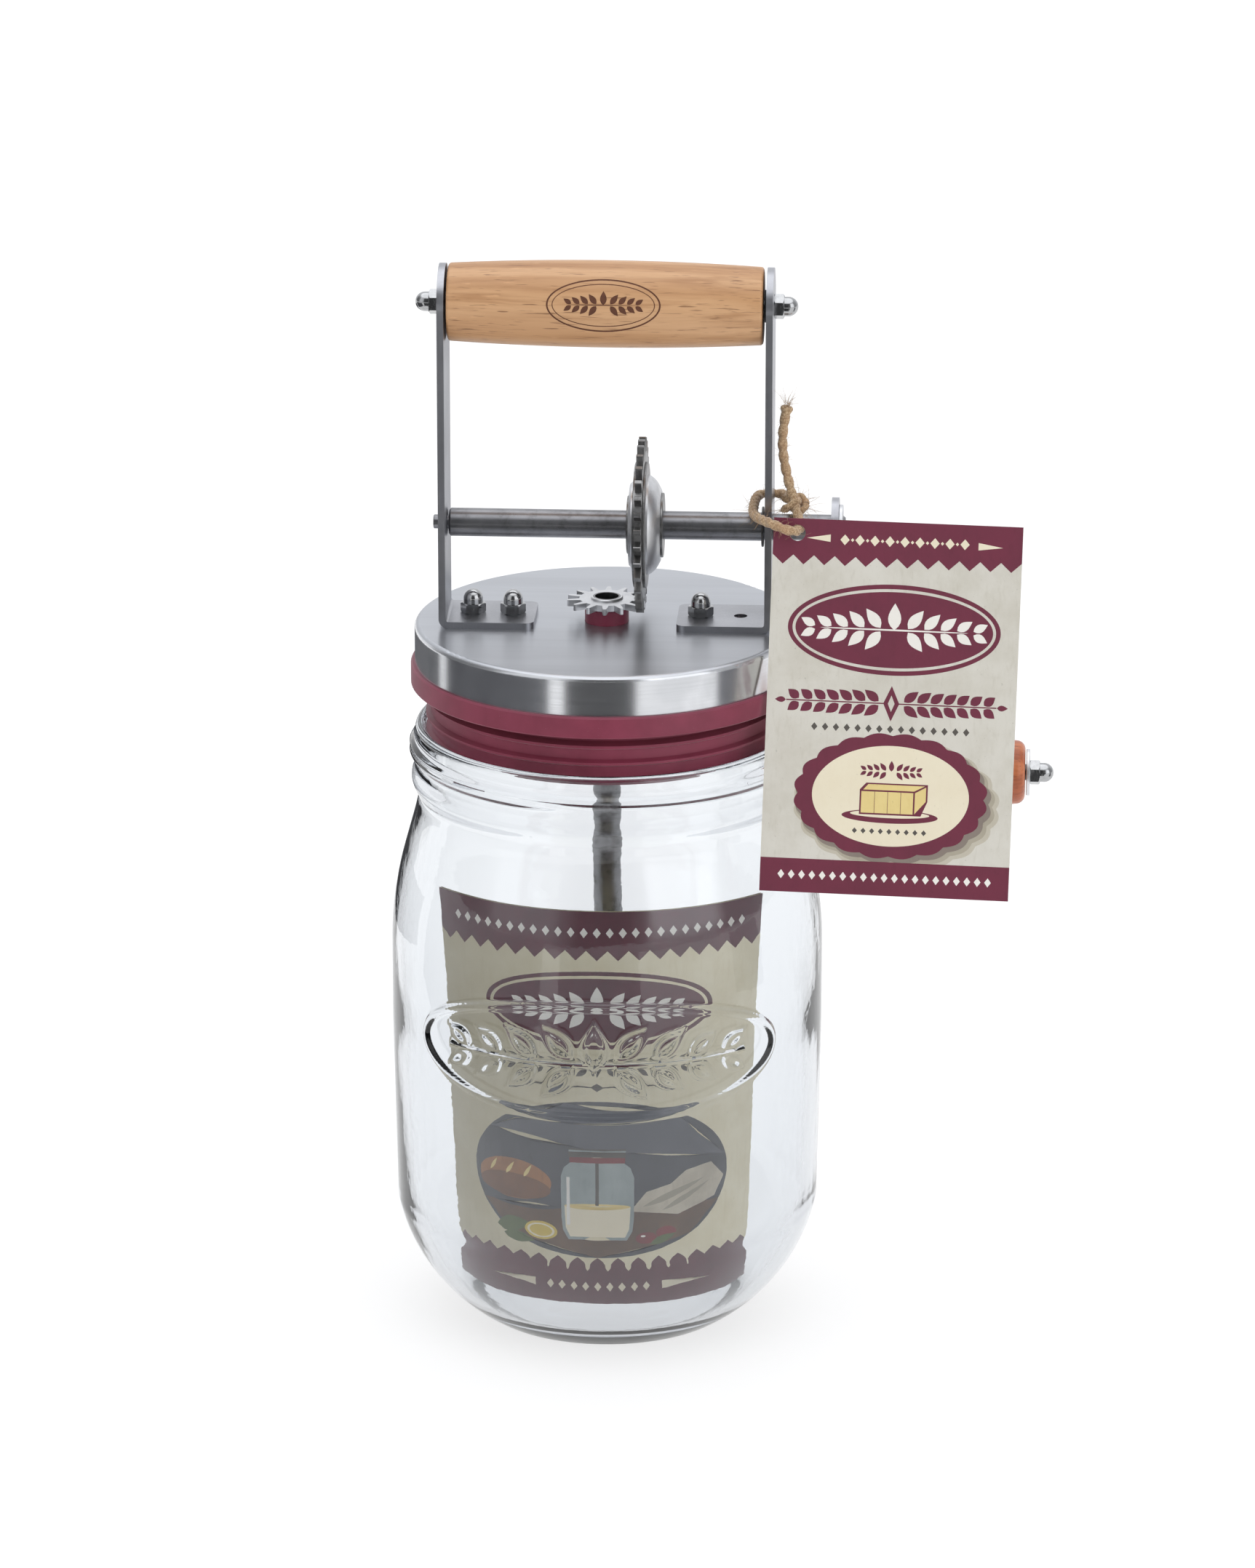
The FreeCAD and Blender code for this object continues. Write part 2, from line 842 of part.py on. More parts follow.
def drive_shaft():
    """The horizontal shaft: a small left journal, a thick middle, a right journal and a peened end."""
    left = size("shaft_left_journal")
    thick = size("shaft_radius")
    right = size("shaft_right_journal")
    arm = size("shaft_arm_radius")
    arm_inner = size("arm_inner")
    washer_end = arm_inner + size("arm_thickness") + size("arm_washer_thickness")
    end = washer_end + size("peen_height")
    left_end = -size("shaft_left_end")
    shoulder = -size("shaft_shoulder")
    step = size("shaft_right_step")
    points = [
        (0, left_end + 2.5),
        (left - 0.8, left_end + 2.5),
        (left - 0.8, left_end),
        (left - 0.2, left_end),
        (left, left_end + 0.2),
        (left, shoulder),
        (thick - 0.5, shoulder),
        (thick, shoulder + 0.5),
        (thick, step),
        (right, step),
        (right, arm_inner),
        (arm, arm_inner),
        (arm, washer_end),
        (size("peen_radius"), washer_end),
        (size("peen_radius") - 0.5, end),
        (0, end),
    ]
    return place(turned("drive_shaft_body", points), z=shaft_axis, turn=ALONG_X)


def toothed_disc(name, teeth, root, tip, root_half, tip_half, thickness, bore, first_angle):
    """A flat disc with tapered teeth round it, the first at first_angle from its own X axis."""
    body = new_body(f"{name}_disc")
    disc = sketch_in(body, "XY_Plane", f"{name}_blank")
    ring(disc, root)
    ring(disc, bore)
    padded(body, disc, f"{name}_blank_pad", thickness)
    tooth = sketch_in(body, "XY_Plane", f"{name}_tooth")
    outline(
        tooth,
        [
            (root - 0.6, -root_half),
            (root, -root_half),
            (tip - 0.25, -tip_half),
            (tip, -tip_half + 0.2),
            (tip, tip_half - 0.2),
            (tip - 0.25, tip_half),
            (root, root_half),
            (root - 0.6, root_half),
        ],
    )
    tooth.AttachmentOffset = FreeCAD.Placement(
        FreeCAD.Vector(), FreeCAD.Rotation(FreeCAD.Vector(0, 0, 1), first_angle)
    )
    tooth_pad = padded(body, tooth, f"{name}_tooth_pad", thickness)
    pattern = body.newObject("PartDesign::PolarPattern", f"{name}_teeth")
    pattern.Originals = [tooth_pad]
    pattern.Axis = (disc, ["N_Axis"])
    pattern.Angle = 360
    bind(pattern, "Occurrences", teeth)
    body.Tip = pattern
    return body


def drive_gear():
    """The big gear. One tooth points straight down, between two teeth of the pinion."""
    gear = toothed_disc(
        "drive_gear",
        size("gear_teeth"),
        size("gear_root_radius"),
        size("gear_tip_radius"),
        size("gear_root_half"),
        size("gear_tip_half"),
        size("gear_thickness"),
        size("shaft_radius"),
        0,
    )
    return on_shaft(gear, size("gear_x") - size("gear_thickness") / 2)


def gear_stack():
    """The plates, pressed dishes and washers on both faces of the big gear."""
    shaft = size("shaft_radius")
    left_face = size("gear_x") - size("gear_thickness") / 2
    right_face = size("gear_x") + size("gear_thickness") / 2
    flange = size("flange_radius")
    left_plate = size("left_flange_thickness")
    right_plate = size("right_flange_thickness")
    left = turned("gear_plate_left_body", tube_points(shaft, flange, 0, left_plate, 0.15))
    node("gear_plate_left", on_shaft(left, left_face - left_plate))
    right = turned("gear_plate_right_body", tube_points(shaft, flange, 0, right_plate, 0.15))
    node("gear_plate_right", on_shaft(right, right_face))

    left_depth = size("left_dish_depth")
    left_radius = size("left_dish_radius")
    left_points = [
        (shaft, 0),
        (left_radius - 0.6, 0),
        (left_radius, left_depth * 0.5),
        (left_radius, left_depth),
        (shaft, left_depth),
    ]
    left_dish = turned("gear_dish_left_body", left_points)
    left_dish_start = left_face - left_plate - left_depth
    node("gear_dish_left", on_shaft(left_dish, left_dish_start))

    depth = size("right_dish_depth")
    wide = size("right_dish_radius")
    narrow = size("right_dish_top")
    right_points = [(shaft, 0), (wide, 0), (wide, 0.5), (narrow, depth - 0.4), (narrow - 0.8, depth)]
    right_points.append((shaft, depth))
    right_dish = turned("gear_dish_right_body", right_points, {2: (6, -1)})
    node("gear_dish_right", on_shaft(right_dish, right_face + right_plate))

    thin = size("hub_washer_thickness")
    left_washer = turned(
        "hub_washer_left_body", tube_points(shaft, size("left_hub_washer"), 0, thin, 0.1)
    )
    node("hub_washer_left", on_shaft(left_washer, left_dish_start - thin))
    right_washer = turned(
        "hub_washer_right_body", tube_points(shaft, size("right_hub_washer"), 0, thin, 0.1)
    )
    node("hub_washer_right", on_shaft(right_washer, right_face + right_plate + depth))


def shaft_retainer():
    """The thin clip on the shaft, just inside the right strap."""
    thin = size("retainer_thickness")
    points = tube_points(size("shaft_right_journal"), size("retainer_radius"), 0, thin, 0.1)
    return on_shaft(turned("shaft_retainer_body", points), size("shaft_right_step") + 0.05)


def crank_arm():
    """The flat round-ended arm, hanging from the shaft, with a hole for the shaft and the spindle."""
    body = new_body("crank_arm_body")
    half = size("arm_width") / 2
    length = size("arm_length")
    sketch = sketch_in(body, "XY_Plane", "crank_arm_outline")
    outline(
        sketch,
        [(0, half), (0, -half), (length, -half), (length, half)],
        {0: (half + 0.0001, -1), 2: (half + 0.0001, -1)},
    )
    ring(sketch, size("shaft_arm_radius"))
    ring(sketch, size("spindle_radius"), u=length)
    padded(body, sketch, "crank_arm_pad", size("arm_thickness"))
    return on_shaft(body, size("arm_inner"))


def arm_washer():
    """The washer between the arm and the shaft's peened end."""
    thin = size("arm_washer_thickness")
    points = tube_points(size("shaft_arm_radius"), size("arm_washer_radius"), 0, thin, 0.15)
    start = size("arm_inner") + size("arm_thickness")
    return on_shaft(turned("arm_washer_body", points), start)


def on_spindle(body, x):
    """Puts a body that was drawn along its own Z on the grip's spindle, starting at x."""
    return place(body, x=x, z=shaft_axis - size("arm_length"), turn=ALONG_X)


def grip_hardware():
    """The headed spindle that the grip turns on, with the washer and dome nut at its end."""
    shank = size("spindle_radius")
    head = size("spindle_head_radius")
    head_height = size("spindle_head_height")
    arm_inner = size("arm_inner")
    shoulder = size("grip_end") + size("grip_washer_gap")
    washer = size("grip_washer_thickness")
    thread_end = shoulder + washer + size("nut_height") - size("nut_dome_radius")
    thread = size("screw_radius")
    points = [
        (0, arm_inner - head_height),
        (head - 0.7, arm_inner - head_height),
        (head, arm_inner - 0.3),
        (head, arm_inner),
        (shank, arm_inner),
        (shank, shoulder),
        (thread, shoulder),
        (thread, thread_end),
        (0, thread_end),
    ]
    node("grip_spindle", on_spindle(turned("grip_spindle_body", points), 0))
    disc = tube_points(thread + clearance, size("arm_washer_radius"), 0, washer, 0.15)
    node("grip_washer", on_spindle(turned("grip_washer_body", disc), shoulder))
    nut = dome_nut(
        "grip_nut",
        shoulder + washer,
        0,
        shaft_axis - size("arm_length"),
        ALONG_X,
    )
    node("grip_dome_nut", nut)


def crank_grip():
    """The turned wooden grip, free to spin on its spindle."""
    start = size("grip_start")
    end = size("grip_end")
    bore = size("spindle_radius") + clearance
    inner = size("grip_inner_radius")
    outer = size("grip_outer_radius")
    middle = size("grip_mid_radius")
    near = size("grip_near_round")
    far = size("grip_far_round")
    points = [
        (bore, start),
        (inner - near, start),
        (inner, start + near),
        (middle, end - size("grip_belly")),
        (outer, end - far),
        (outer - far, end),
        (bore, end),
    ]
    arcs = {
        1: (near, -1),
        2: (size("grip_long_curve"), -1),
        3: (size("grip_end_curve"), -1),
        4: (far, -1),
    }
    return on_spindle(turned("crank_grip_body", points, arcs), 0)


node("drive_shaft", drive_shaft())
node("drive_gear", drive_gear())
gear_stack()
node("shaft_retainer", shaft_retainer())
node("crank_arm", crank_arm())
node("arm_washer", arm_washer())
grip_hardware()
node("crank_grip", crank_grip())


# ------------------------------------------------------------------ beater
def pinion():
    """The small gear on the upright shaft, with a raised collar round its bore."""
    teeth = size("pinion_teeth")
    bore = size("beater_radius")
    half_tooth = 180 / teeth.value
    disc = toothed_disc(
        "pinion",
        teeth,
        size("pinion_root_radius"),
        size("pinion_tip_radius"),
        size("pinion_root_half"),
        size("pinion_tip_half"),
        size("pinion_thickness"),
        bore,
        half_tooth,
    )
    height = size("pinion_thickness") + size("pinion_collar_height")
    collar = turned(
        "pinion_collar",
        [
            (bore, 0.2),
            (size("pinion_collar_radius"), 0.2),
            (size("pinion_collar_radius"), height - 0.15),
            (size("pinion_collar_radius") - 0.15, height),
            (bore, height),
        ],
    )
    return place(fuse("pinion_body", [disc, collar]), z=size("pinion_bottom"))


def beater_shaft():
    """The upright shaft: drilled at its top, through the lid, and down into the jar."""
    radius = size("beater_radius")
    bore = size("beater_bore_radius")
    top = size("pinion_bottom") + size("pinion_thickness") + size("pinion_collar_height")
    bottom = size("beater_bottom")
    points = [
        (0, bottom),
        (radius - 0.6, bottom),
        (radius, bottom + 0.6),
        (radius, top),
        (bore, top),
        (bore, top - size("beater_bore_depth")),
        (0, top - size("beater_bore_depth")),
    ]
    return turned("beater_shaft_body", points)


def stop_collar():
    """The collar that keeps the shaft from rising out of its bush."""
    points = tube_points(
        size("beater_radius"), size("stop_collar_radius"), 0, size("stop_collar_height"), 0.4
    )
    body = turned("stop_collar_body", points)
    return place(body, z=size("bush_bottom") - size("stop_collar_height") - 0.3)


def paddle():
    """The moulded paddle: a hub with two slotted blades."""
    reach = size("paddle_reach")
    height = size("paddle_height")
    thickness = size("paddle_thickness")
    body = new_body("paddle_blades")
    blades = sketch_in(body, "XZ_Plane", "paddle_outline")
    outline(blades, [(-reach, 0), (reach, 0), (reach, height), (-reach, height)])
    slots = size("paddle_slots").value
    slot = size("paddle_slot_height")
    pitch = height / (slots + 1)
    for i in range(1, int(slots) + 1):
        low = pitch * i - slot / 2
        for side in (-1, 1):
            inner = size("paddle_slot_inner") * side
            outer = size("paddle_slot_outer") * side
            slot_outline(blades, inner, outer, low, low + slot)
    plate = padded(body, blades, "paddle_plate", thickness, symmetric=True)

    def at_corner(edge):
        if not isinstance(edge.Curve, Part.Line):
            return False
        across = abs(abs(edge.Curve.Direction.y) - 1) < 1e-6
        return across and abs(edge.CenterOfMass.x) > reach.value - 0.01

    rounded(body, plate, "paddle_corners", size("paddle_corner"), at_corner)
    bore = size("beater_radius")
    hub = cylinder("paddle_hub", size("paddle_hub_radius"), height)
    pieces = fuse("paddle_solid", [body, hub])
    shaft_bore = cylinder("paddle_bore", bore, height + 2, z=-1)
    pin_bore = cylinder(
        "paddle_pin_bore",
        size("pin_radius"),
        size("paddle_hub_radius") * 4,
        y=-size("paddle_hub_radius") * 2,
        z=height - size("pin_drop"),
        turn=FreeCAD.Rotation(FreeCAD.Vector(1, 0, 0), -90),
    )
    holes = group("paddle_holes", [shaft_bore, pin_bore])
    return place(cut("paddle_body", pieces, holes), z=size("paddle_bottom"))


def slot_outline(sketch, inner, outer, low, high):
    """One rectangular window in a blade, its corners where the sheet puts them."""
    flat = [(inner, low), (outer, low), (outer, high), (inner, high)]
    first = sketch.GeometryCount
    places = [FreeCAD.Vector(u.value, v.value, 0) for u, v in flat]
    for i, start in enumerate(places):
        sketch.addGeometry(Part.LineSegment(start, places[(i + 1) % 4]), False)
    for i in range(4):
        pin_point(sketch, first + i, 1, flat[i])
        last = first + (i - 1) % 4
        sketch.addConstraint(Sketcher.Constraint("Coincident", last, 2, first + i, 1))


def paddle_pin():
    """The cross pin that fixes the paddle to the shaft."""
    reach = size("paddle_hub_radius") + 0.6
    turn = FreeCAD.Rotation(FreeCAD.Vector(1, 0, 0), -90)
    height = size("paddle_bottom") + size("paddle_height") - size("pin_drop")
    return cylinder("paddle_pin_body", size("pin_radius"), reach * 2, y=-reach, z=height, turn=turn)


def cross_drilled(shaft):
    """The shaft with the hole that the paddle's pin goes through."""
    reach = size("beater_radius") * 2
    height = size("paddle_bottom") + size("paddle_height") - size("pin_drop")
    turn = FreeCAD.Rotation(FreeCAD.Vector(1, 0, 0), -90)
    hole = cylinder("shaft_pin_hole", size("pin_radius"), reach * 2, y=-reach, z=height, turn=turn)
    return cut("beater_shaft_drilled", shaft, hole)


node("pinion", pinion())
node("beater_shaft", cross_drilled(beater_shaft()))
node("stop_collar", stop_collar())
node("paddle", paddle())
node("paddle_pin", paddle_pin())


# ------------------------------------------------------------------ hang tag and twine
TAG_CORNER = FreeCAD.Vector(42.0, -17.2, 213.3)
KNOT_CENTRE = FreeCAD.Vector(46.4, -5.5, 213.4)
# the twine leaves the knot, goes round the back of the right strap, over the shaft, across the
# strap's front edge, through the tag's hole and back to the knot, and its free end stands up
TWINE_ROUTE = [
    (46.3, -3.4, 213.0),
    (45.4, 3.6, 211.8),
    (44.0, 11.9, 211.0),
    (36.8, 11.9, 211.0),
    (36.2, 1.5, 210.9),
    (36.5, -9.4, 211.2),
    (41.0, -18.9, 212.3),
    (46.0, -20.9, 210.8),
    (48.5, -17.3, 210.0),
    (48.0, -11.6, 211.0),
    (46.6, -7.4, 214.0),
    (45.0, -5.6, 219.4),
    (43.6, -5.0, 225.6),
    (43.4, -4.9, 232.0),
    (44.6, -5.0, 238.2),
]


def hang_tag():
    """The folded card, leaning forward as it hangs from the twine by its top left corner."""
    card = doc.addObject("Part::Box", "tag_card")
    bind(card, "Length", size("tag_width"))
    bind(card, "Width", size("tag_thickness"))
    bind(card, "Height", size("tag_height"))
    place(card, z=-size("tag_height"))
    hole = cylinder(
        "tag_hole",
        size("tag_hole_radius"),
        size("tag_thickness") + 2,
        x=size("tag_hole_across"),
        y=-1,
        z=-size("tag_hole_down"),
        turn=FreeCAD.Rotation(FreeCAD.Vector(1, 0, 0), -90),
    )
    tag = cut("hang_tag_body", card, hole)
    lean = FreeCAD.Rotation(FreeCAD.Vector(1, 0, 0), -size("tag_lean").value)
    roll = FreeCAD.Rotation(FreeCAD.Vector(0, 1, 0), size("tag_roll").value)
    turn = FreeCAD.Rotation(FreeCAD.Vector(0, 0, 1), -size("tag_turn").value)
    tag.Placement = FreeCAD.Placement(TAG_CORNER, turn.multiply(lean).multiply(roll))
    return tag


def twine(name, route):
    """A tube along straight runs joined by tangent arcs, each as large as its two runs allow."""
    points = [FreeCAD.Vector(*p) for p in route]
    radius = size("twine_diameter").value / 2
    edges = []
    here = points[0]
    bends = []
    for before, corner, after in zip(points, points[1:], points[2:]):
        run_in = corner - before
        run_out = after - corner
        turn = run_in.getAngle(run_out)
        shorter = min(run_in.Length, run_out.Length)
        bend = 0.45 * shorter / math.tan(turn / 2)
        set_back = 0.45 * shorter
        start = corner - run_in.normalize() * set_back
        end = corner + run_out.normalize() * set_back
        towards = ((start + end) / 2 - corner).normalize()
        middle = corner + towards * (bend / math.cos(turn / 2) - bend)
        edges.append(Part.LineSegment(here, start).toShape())
        edges.append(Part.Arc(start, middle, end).toShape())
        bends.append(bend)
        here = end
    edges.append(Part.LineSegment(here, points[-1]).toShape())
    path = Part.Wire(edges)
    along = points[1] - points[0]
    section = Part.Wire([Part.Circle(points[0], along, radius).toShape()])
    tube = doc.addObject("Part::Feature", f"{name}_body")
    tube.Shape = path.makePipeShell([section], True, True)
    expected = math.pi * radius**2 * path.Length
    print(
        f"{name}: length {path.Length:.1f}, tightest bend {min(bends):.1f},",
        f"volume {tube.Shape.Volume:.1f} of {expected:.1f}",
    )
    return tube


def twine_knot():
    """The overhand knot, as one rounded lump that both stretches of twine run out of."""
    lump = doc.addObject("Part::Ellipsoid", "knot_lump")
    bind(lump, "Radius1", size("knot_radius"))
    bind(lump, "Radius2", size("knot_radius") * 0.9)
    bind(lump, "Radius3", size("knot_radius") * 0.9)
    lump.Placement = FreeCAD.Placement(KNOT_CENTRE, UP)
    return lump


node("hang_tag", hang_tag())
node("tag_twine", twine("tag_twine", TWINE_ROUTE))
node("twine_knot", twine_knot())

# ------------------------------------------------------------------ check and write
doc.recompute()
for obj in doc.Objects:
    if "Invalid" in obj.State or "Error" in obj.State:
        raise RuntimeError(f"{obj.Label} did not recompute: {obj.State}")
os.makedirs("parts", exist_ok=True)
for label, obj in nodes:
    shape = obj.Shape
    if shape.isNull() or not shape.isValid() or not shape.Solids:
        raise RuntimeError(f"{label} has no valid solid")
    shape.exportStep(f"parts/{label}.step")
    print(f"{label}: {len(shape.Solids)} solid(s), {shape.Volume:.1f} mm3")
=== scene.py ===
import json
import math
import random

import bmesh
import bpy
import numpy as np
from mathutils import Matrix, Vector
from mathutils.bvhtree import BVHTree
from mathutils.geometry import delaunay_2d_cdt


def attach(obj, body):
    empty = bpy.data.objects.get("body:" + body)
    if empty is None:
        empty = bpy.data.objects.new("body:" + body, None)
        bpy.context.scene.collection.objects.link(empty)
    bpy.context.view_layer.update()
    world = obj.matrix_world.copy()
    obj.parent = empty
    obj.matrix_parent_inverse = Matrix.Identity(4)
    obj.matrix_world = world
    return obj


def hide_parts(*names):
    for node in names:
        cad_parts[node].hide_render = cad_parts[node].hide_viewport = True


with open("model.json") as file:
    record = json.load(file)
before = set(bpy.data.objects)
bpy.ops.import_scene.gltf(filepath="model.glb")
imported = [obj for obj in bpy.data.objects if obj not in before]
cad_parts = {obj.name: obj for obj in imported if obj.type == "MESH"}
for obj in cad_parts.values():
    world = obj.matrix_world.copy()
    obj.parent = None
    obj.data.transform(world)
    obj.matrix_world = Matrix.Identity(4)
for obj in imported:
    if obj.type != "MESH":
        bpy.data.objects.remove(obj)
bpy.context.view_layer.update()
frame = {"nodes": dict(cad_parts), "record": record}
NODES = frame["nodes"]
MM = 0.001
UP = Vector((0, 0, 1))

# ---- camera, light and floor
CENTRE = Vector((0, 0, 0.1))
DISTANCE = 2.0
AZIMUTH = math.radians(3.47)
ELEVATION = math.radians(19.22)
TURN_RIGHT, TILT_UP = math.radians(0.155), math.radians(1.04)
LENS, SENSOR = 182.7, 36.0


def linked(name, data):
    """A new object in the scene."""
    made = bpy.data.objects.new(name, data)
    bpy.context.scene.collection.objects.link(made)
    return made


def make_camera():
    camera = linked("camera", bpy.data.cameras.new("camera"))
    flat = DISTANCE * math.cos(ELEVATION)
    away = Vector((flat * math.sin(AZIMUTH), -flat * math.cos(AZIMUTH), DISTANCE * math.sin(ELEVATION)))
    camera.location = CENTRE + away
    aim = Matrix.Rotation(-TURN_RIGHT, 3, "Z") @ (-away)
    aim = Matrix.Rotation(TILT_UP, 3, aim.cross(UP).normalized()) @ aim
    camera.rotation_euler = aim.to_track_quat("-Z", "Y").to_euler()
    camera.data.lens = LENS
    camera.data.sensor_width = SENSOR
    camera.data.clip_end = 50
    bpy.context.scene.camera = camera


# ---- node helpers
def add(tree, kind, values=None, **settings):
    """A new shader node. values are numbers, or sockets to link, by input name or index."""
    node = tree.nodes.new("ShaderNode" + kind)
    for key, value in settings.items():
        setattr(node, key, value)
    for key, value in (values or {}).items():
        if isinstance(value, bpy.types.NodeSocket):
            tree.links.new(value, node.inputs[key])
        else:
            node.inputs[key].default_value = value
    return node


def paint(red, green, blue):
    """A display colour, 0 to 255, as the linear colour a shader takes."""
    out = []
    for value in (red, green, blue):
        share = value / 255
        out.append(share / 12.92 if share <= 0.04045 else ((share + 0.055) / 1.055) ** 2.4)
    return (*out, 1.0)


def maths(tree, operation, first, second=0.0, third=0.0, clamp=False):
    node = add(tree, "Math", {0: first, 1: second, 2: third}, operation=operation, use_clamp=clamp)
    return node.outputs[0]


def scaled(colour, share):
    """A colour made darker or lighter, at most white."""
    return tuple(min(1, value * share) for value in colour[:3]) + (1,)


def mixed(tree, share, first, second):
    return add(tree, "Mix", {0: share, 6: first, 7: second}, data_type="RGBA").outputs[2]


def ramp(tree, share, stops):
    """A smooth ramp through (place, value or colour) stops."""
    node = add(tree, "ValToRGB", {0: share})
    band = node.color_ramp
    band.interpolation = "EASE"
    while len(band.elements) < len(stops):
        band.elements.new(0.5)
    for element, (place, colour) in zip(band.elements, stops):
        element.position = place
        element.color = colour if hasattr(colour, "__len__") else (colour, colour, colour, 1)
    return node.outputs[0]


def coords(tree, scale=(1, 1, 1), warp=None):
    """Object coordinates in metres, scaled along each axis."""
    place = add(tree, "TexCoord").outputs["Object"]
    if warp is not None:
        place = add(tree, "VectorMath", {0: place, 1: warp}, operation="ADD").outputs[0]
    return add(tree, "Mapping", {0: place, 3: scale}).outputs[0]


def noise(tree, scale, detail, rough, stretch=(1, 1, 1), warp=None):
    """Cloudy noise in object space, drawn out along the axes where stretch is small."""
    values = {"Vector": coords(tree, stretch, warp), "Scale": scale, "Detail": detail, "Roughness": rough}
    return add(tree, "TexNoise", values).outputs[0]


def veiled(tree, value, start, end, share, under, over):
    """One colour over another, from none where value is start to share where it is end."""
    return mixed(tree, ramp(tree, value, [(start, 0.0), (end, share)]), under, over)


def material(name, **values):
    """A new material and its Principled shader, with values given by socket name."""
    made = bpy.data.materials.new(name)
    made.use_nodes = True
    tree = made.node_tree
    shader = tree.nodes["Principled BSDF"]
    for key, value in values.items():
        shader.inputs[key.replace("_", " ")].default_value = value
    return made, tree, shader


def feed(tree, shader, height, strength, distance, **sockets):
    """Bump the surface by height, and link sockets into the shader's inputs of the same names."""
    bump = add(tree, "Bump", {"Height": height, "Strength": strength, "Distance": distance})
    sockets["Normal"] = bump.outputs[0]
    for key, socket in sockets.items():
        tree.links.new(socket, shader.inputs[key.replace("_", " ")])


# ---- world
# Patches of the studio: left, right (radians round Z from the front), low, high, blur and strength.
GAPS = [
    (-0.30, 0.34, -0.9, 0.72, 0.12, 0.86),
    (-2.1, -1.25, -0.9, 0.6, 0.2, 0.62),
    (1.45, 2.2, -0.9, 0.6, 0.2, 0.22),
]
SOFTBOXES = [(-1.10, -0.42, 0.02, 0.72, 0.06, 0.55), (0.46, 1.20, 0.02, 0.66, 0.06, 1.75)]
OVERHEAD, OVERHEAD_STRENGTH = (0.78, 1.2, 0.10), 1.6
STUDIO_LEVEL = 0.72


def make_world():
    """An even studio: a soft light overhead, a brighter back, two softboxes, and darker gaps in front and beside."""
    world = bpy.data.worlds.new("studio")
    bpy.context.scene.world = world
    world.use_nodes = True
    tree = world.node_tree
    way = add(tree, "TexCoord").outputs["Generated"]
    parts = add(tree, "SeparateXYZ", {0: way}).outputs
    across, depth, height = parts[0], parts[1], parts[2]
    angle = maths(tree, "ARCTAN2", across, maths(tree, "MULTIPLY", depth, -1.0))

    def eased(value, start, end, first, last):
        values = {0: value, 1: start, 2: end, 3: first, 4: last}
        return add(tree, "MapRange", values, interpolation_type="SMOOTHSTEP").outputs[0]

    def band(value, low, high, soft):
        rise = eased(value, low - soft, low + soft, 0.0, 1.0)
        return maths(tree, "MULTIPLY", rise, eased(value, high - soft, high + soft, 1.0, 0.0))

    def box(left, right, low, high, soft, strength):
        inside = maths(tree, "MULTIPLY", band(angle, left, right, soft), band(height, low, high, soft))
        return maths(tree, "MULTIPLY", inside, strength)

    base = add(tree, "MapRange", {0: height, 1: -0.1, 2: 0.9, 3: 0.62, 4: 0.80}).outputs[0]
    light = maths(tree, "ADD", base, eased(depth, -0.2, 0.9, 0.0, 0.62))
    for gap in GAPS:
        light = maths(tree, "MULTIPLY", light, maths(tree, "SUBTRACT", 1.0, box(*gap)))
    for softbox in SOFTBOXES:
        light = maths(tree, "ADD", light, box(*softbox))
    overhead = maths(tree, "MULTIPLY", band(height, *OVERHEAD), OVERHEAD_STRENGTH)
    light = maths(tree, "MULTIPLY", maths(tree, "ADD", light, overhead), STUDIO_LEVEL)
    red, blue = maths(tree, "MULTIPLY", light, 0.985), maths(tree, "MULTIPLY", light, 1.03)
    colour = add(tree, "CombineColor", {0: red, 1: light, 2: blue})
    tree.links.new(colour.outputs[0], tree.nodes["Background"].inputs[0])
    bpy.context.scene.view_settings.view_transform = "Standard"


def card(name, corners, made):
    """A flat four-cornered piece of the set."""
    mesh = bpy.data.meshes.new(name)
    mesh.from_pydata(corners, [], [(0, 1, 2, 3)])
    mesh.materials.append(made)
    held = linked(name, mesh)
    return held


FLOOR_HALF, FLOOR_GREY, FLOOR_GLOW = 6.0, 0.30, 0.74


def make_floor():
    glow = {"Emission_Color": (1, 1, 1, 1), "Emission_Strength": FLOOR_GLOW}
    grey = (FLOOR_GREY, FLOOR_GREY, FLOOR_GREY, 1)
    made, _, _ = material("floor_paper", Base_Color=grey, Roughness=0.9, Specular_IOR_Level=0.1, **glow)
    half = FLOOR_HALF
    card("floor", [(-half, -half, 0), (half, -half, 0), (half, half, 0), (-half, half, 0)], made)


# Dark cards: start and end in degrees from the front, near and far edge in metres, the far edge's height, and grey.
FLAGS = [
    (-21, 20, 0.28, 1.4, 0.10, 0.012),
    (-104, -30, 0.30, 1.4, 0.12, 0.06),
    (70, 88, 0.32, 1.4, 0.08, 0.10),
    (172, 184, 0.4, 1.3, 0.04, 0.12),
    (-172, -112, 0.40, 0.75, 0.04, 0.05),
]
CARD_LIFT = 0.004


def make_flags():
    """Dark cards low round the object that only mirrors and glass see, as flags beside a set."""
    for number, (start, end, near, far, height, grey) in enumerate(FLAGS):
        made, _, _ = material(f"flag_card_{number}", Base_Color=(grey, grey, grey * 1.1, 1), Roughness=0.9)
        low, high = (near, CARD_LIFT), (far, height)
        corners = []
        for angle, (reach, rise) in ((start, low), (start, high), (end, high), (end, low)):
            angle = math.radians(angle)
            corners.append((reach * math.sin(angle), -reach * math.cos(angle), rise))
        flag = card(f"flag_{number}", corners, made)
        for ray in ("camera", "diffuse", "shadow", "transmission", "volume_scatter"):
            setattr(flag, "visible_" + ray, False)


make_camera()
make_world()
make_floor()
make_flags()


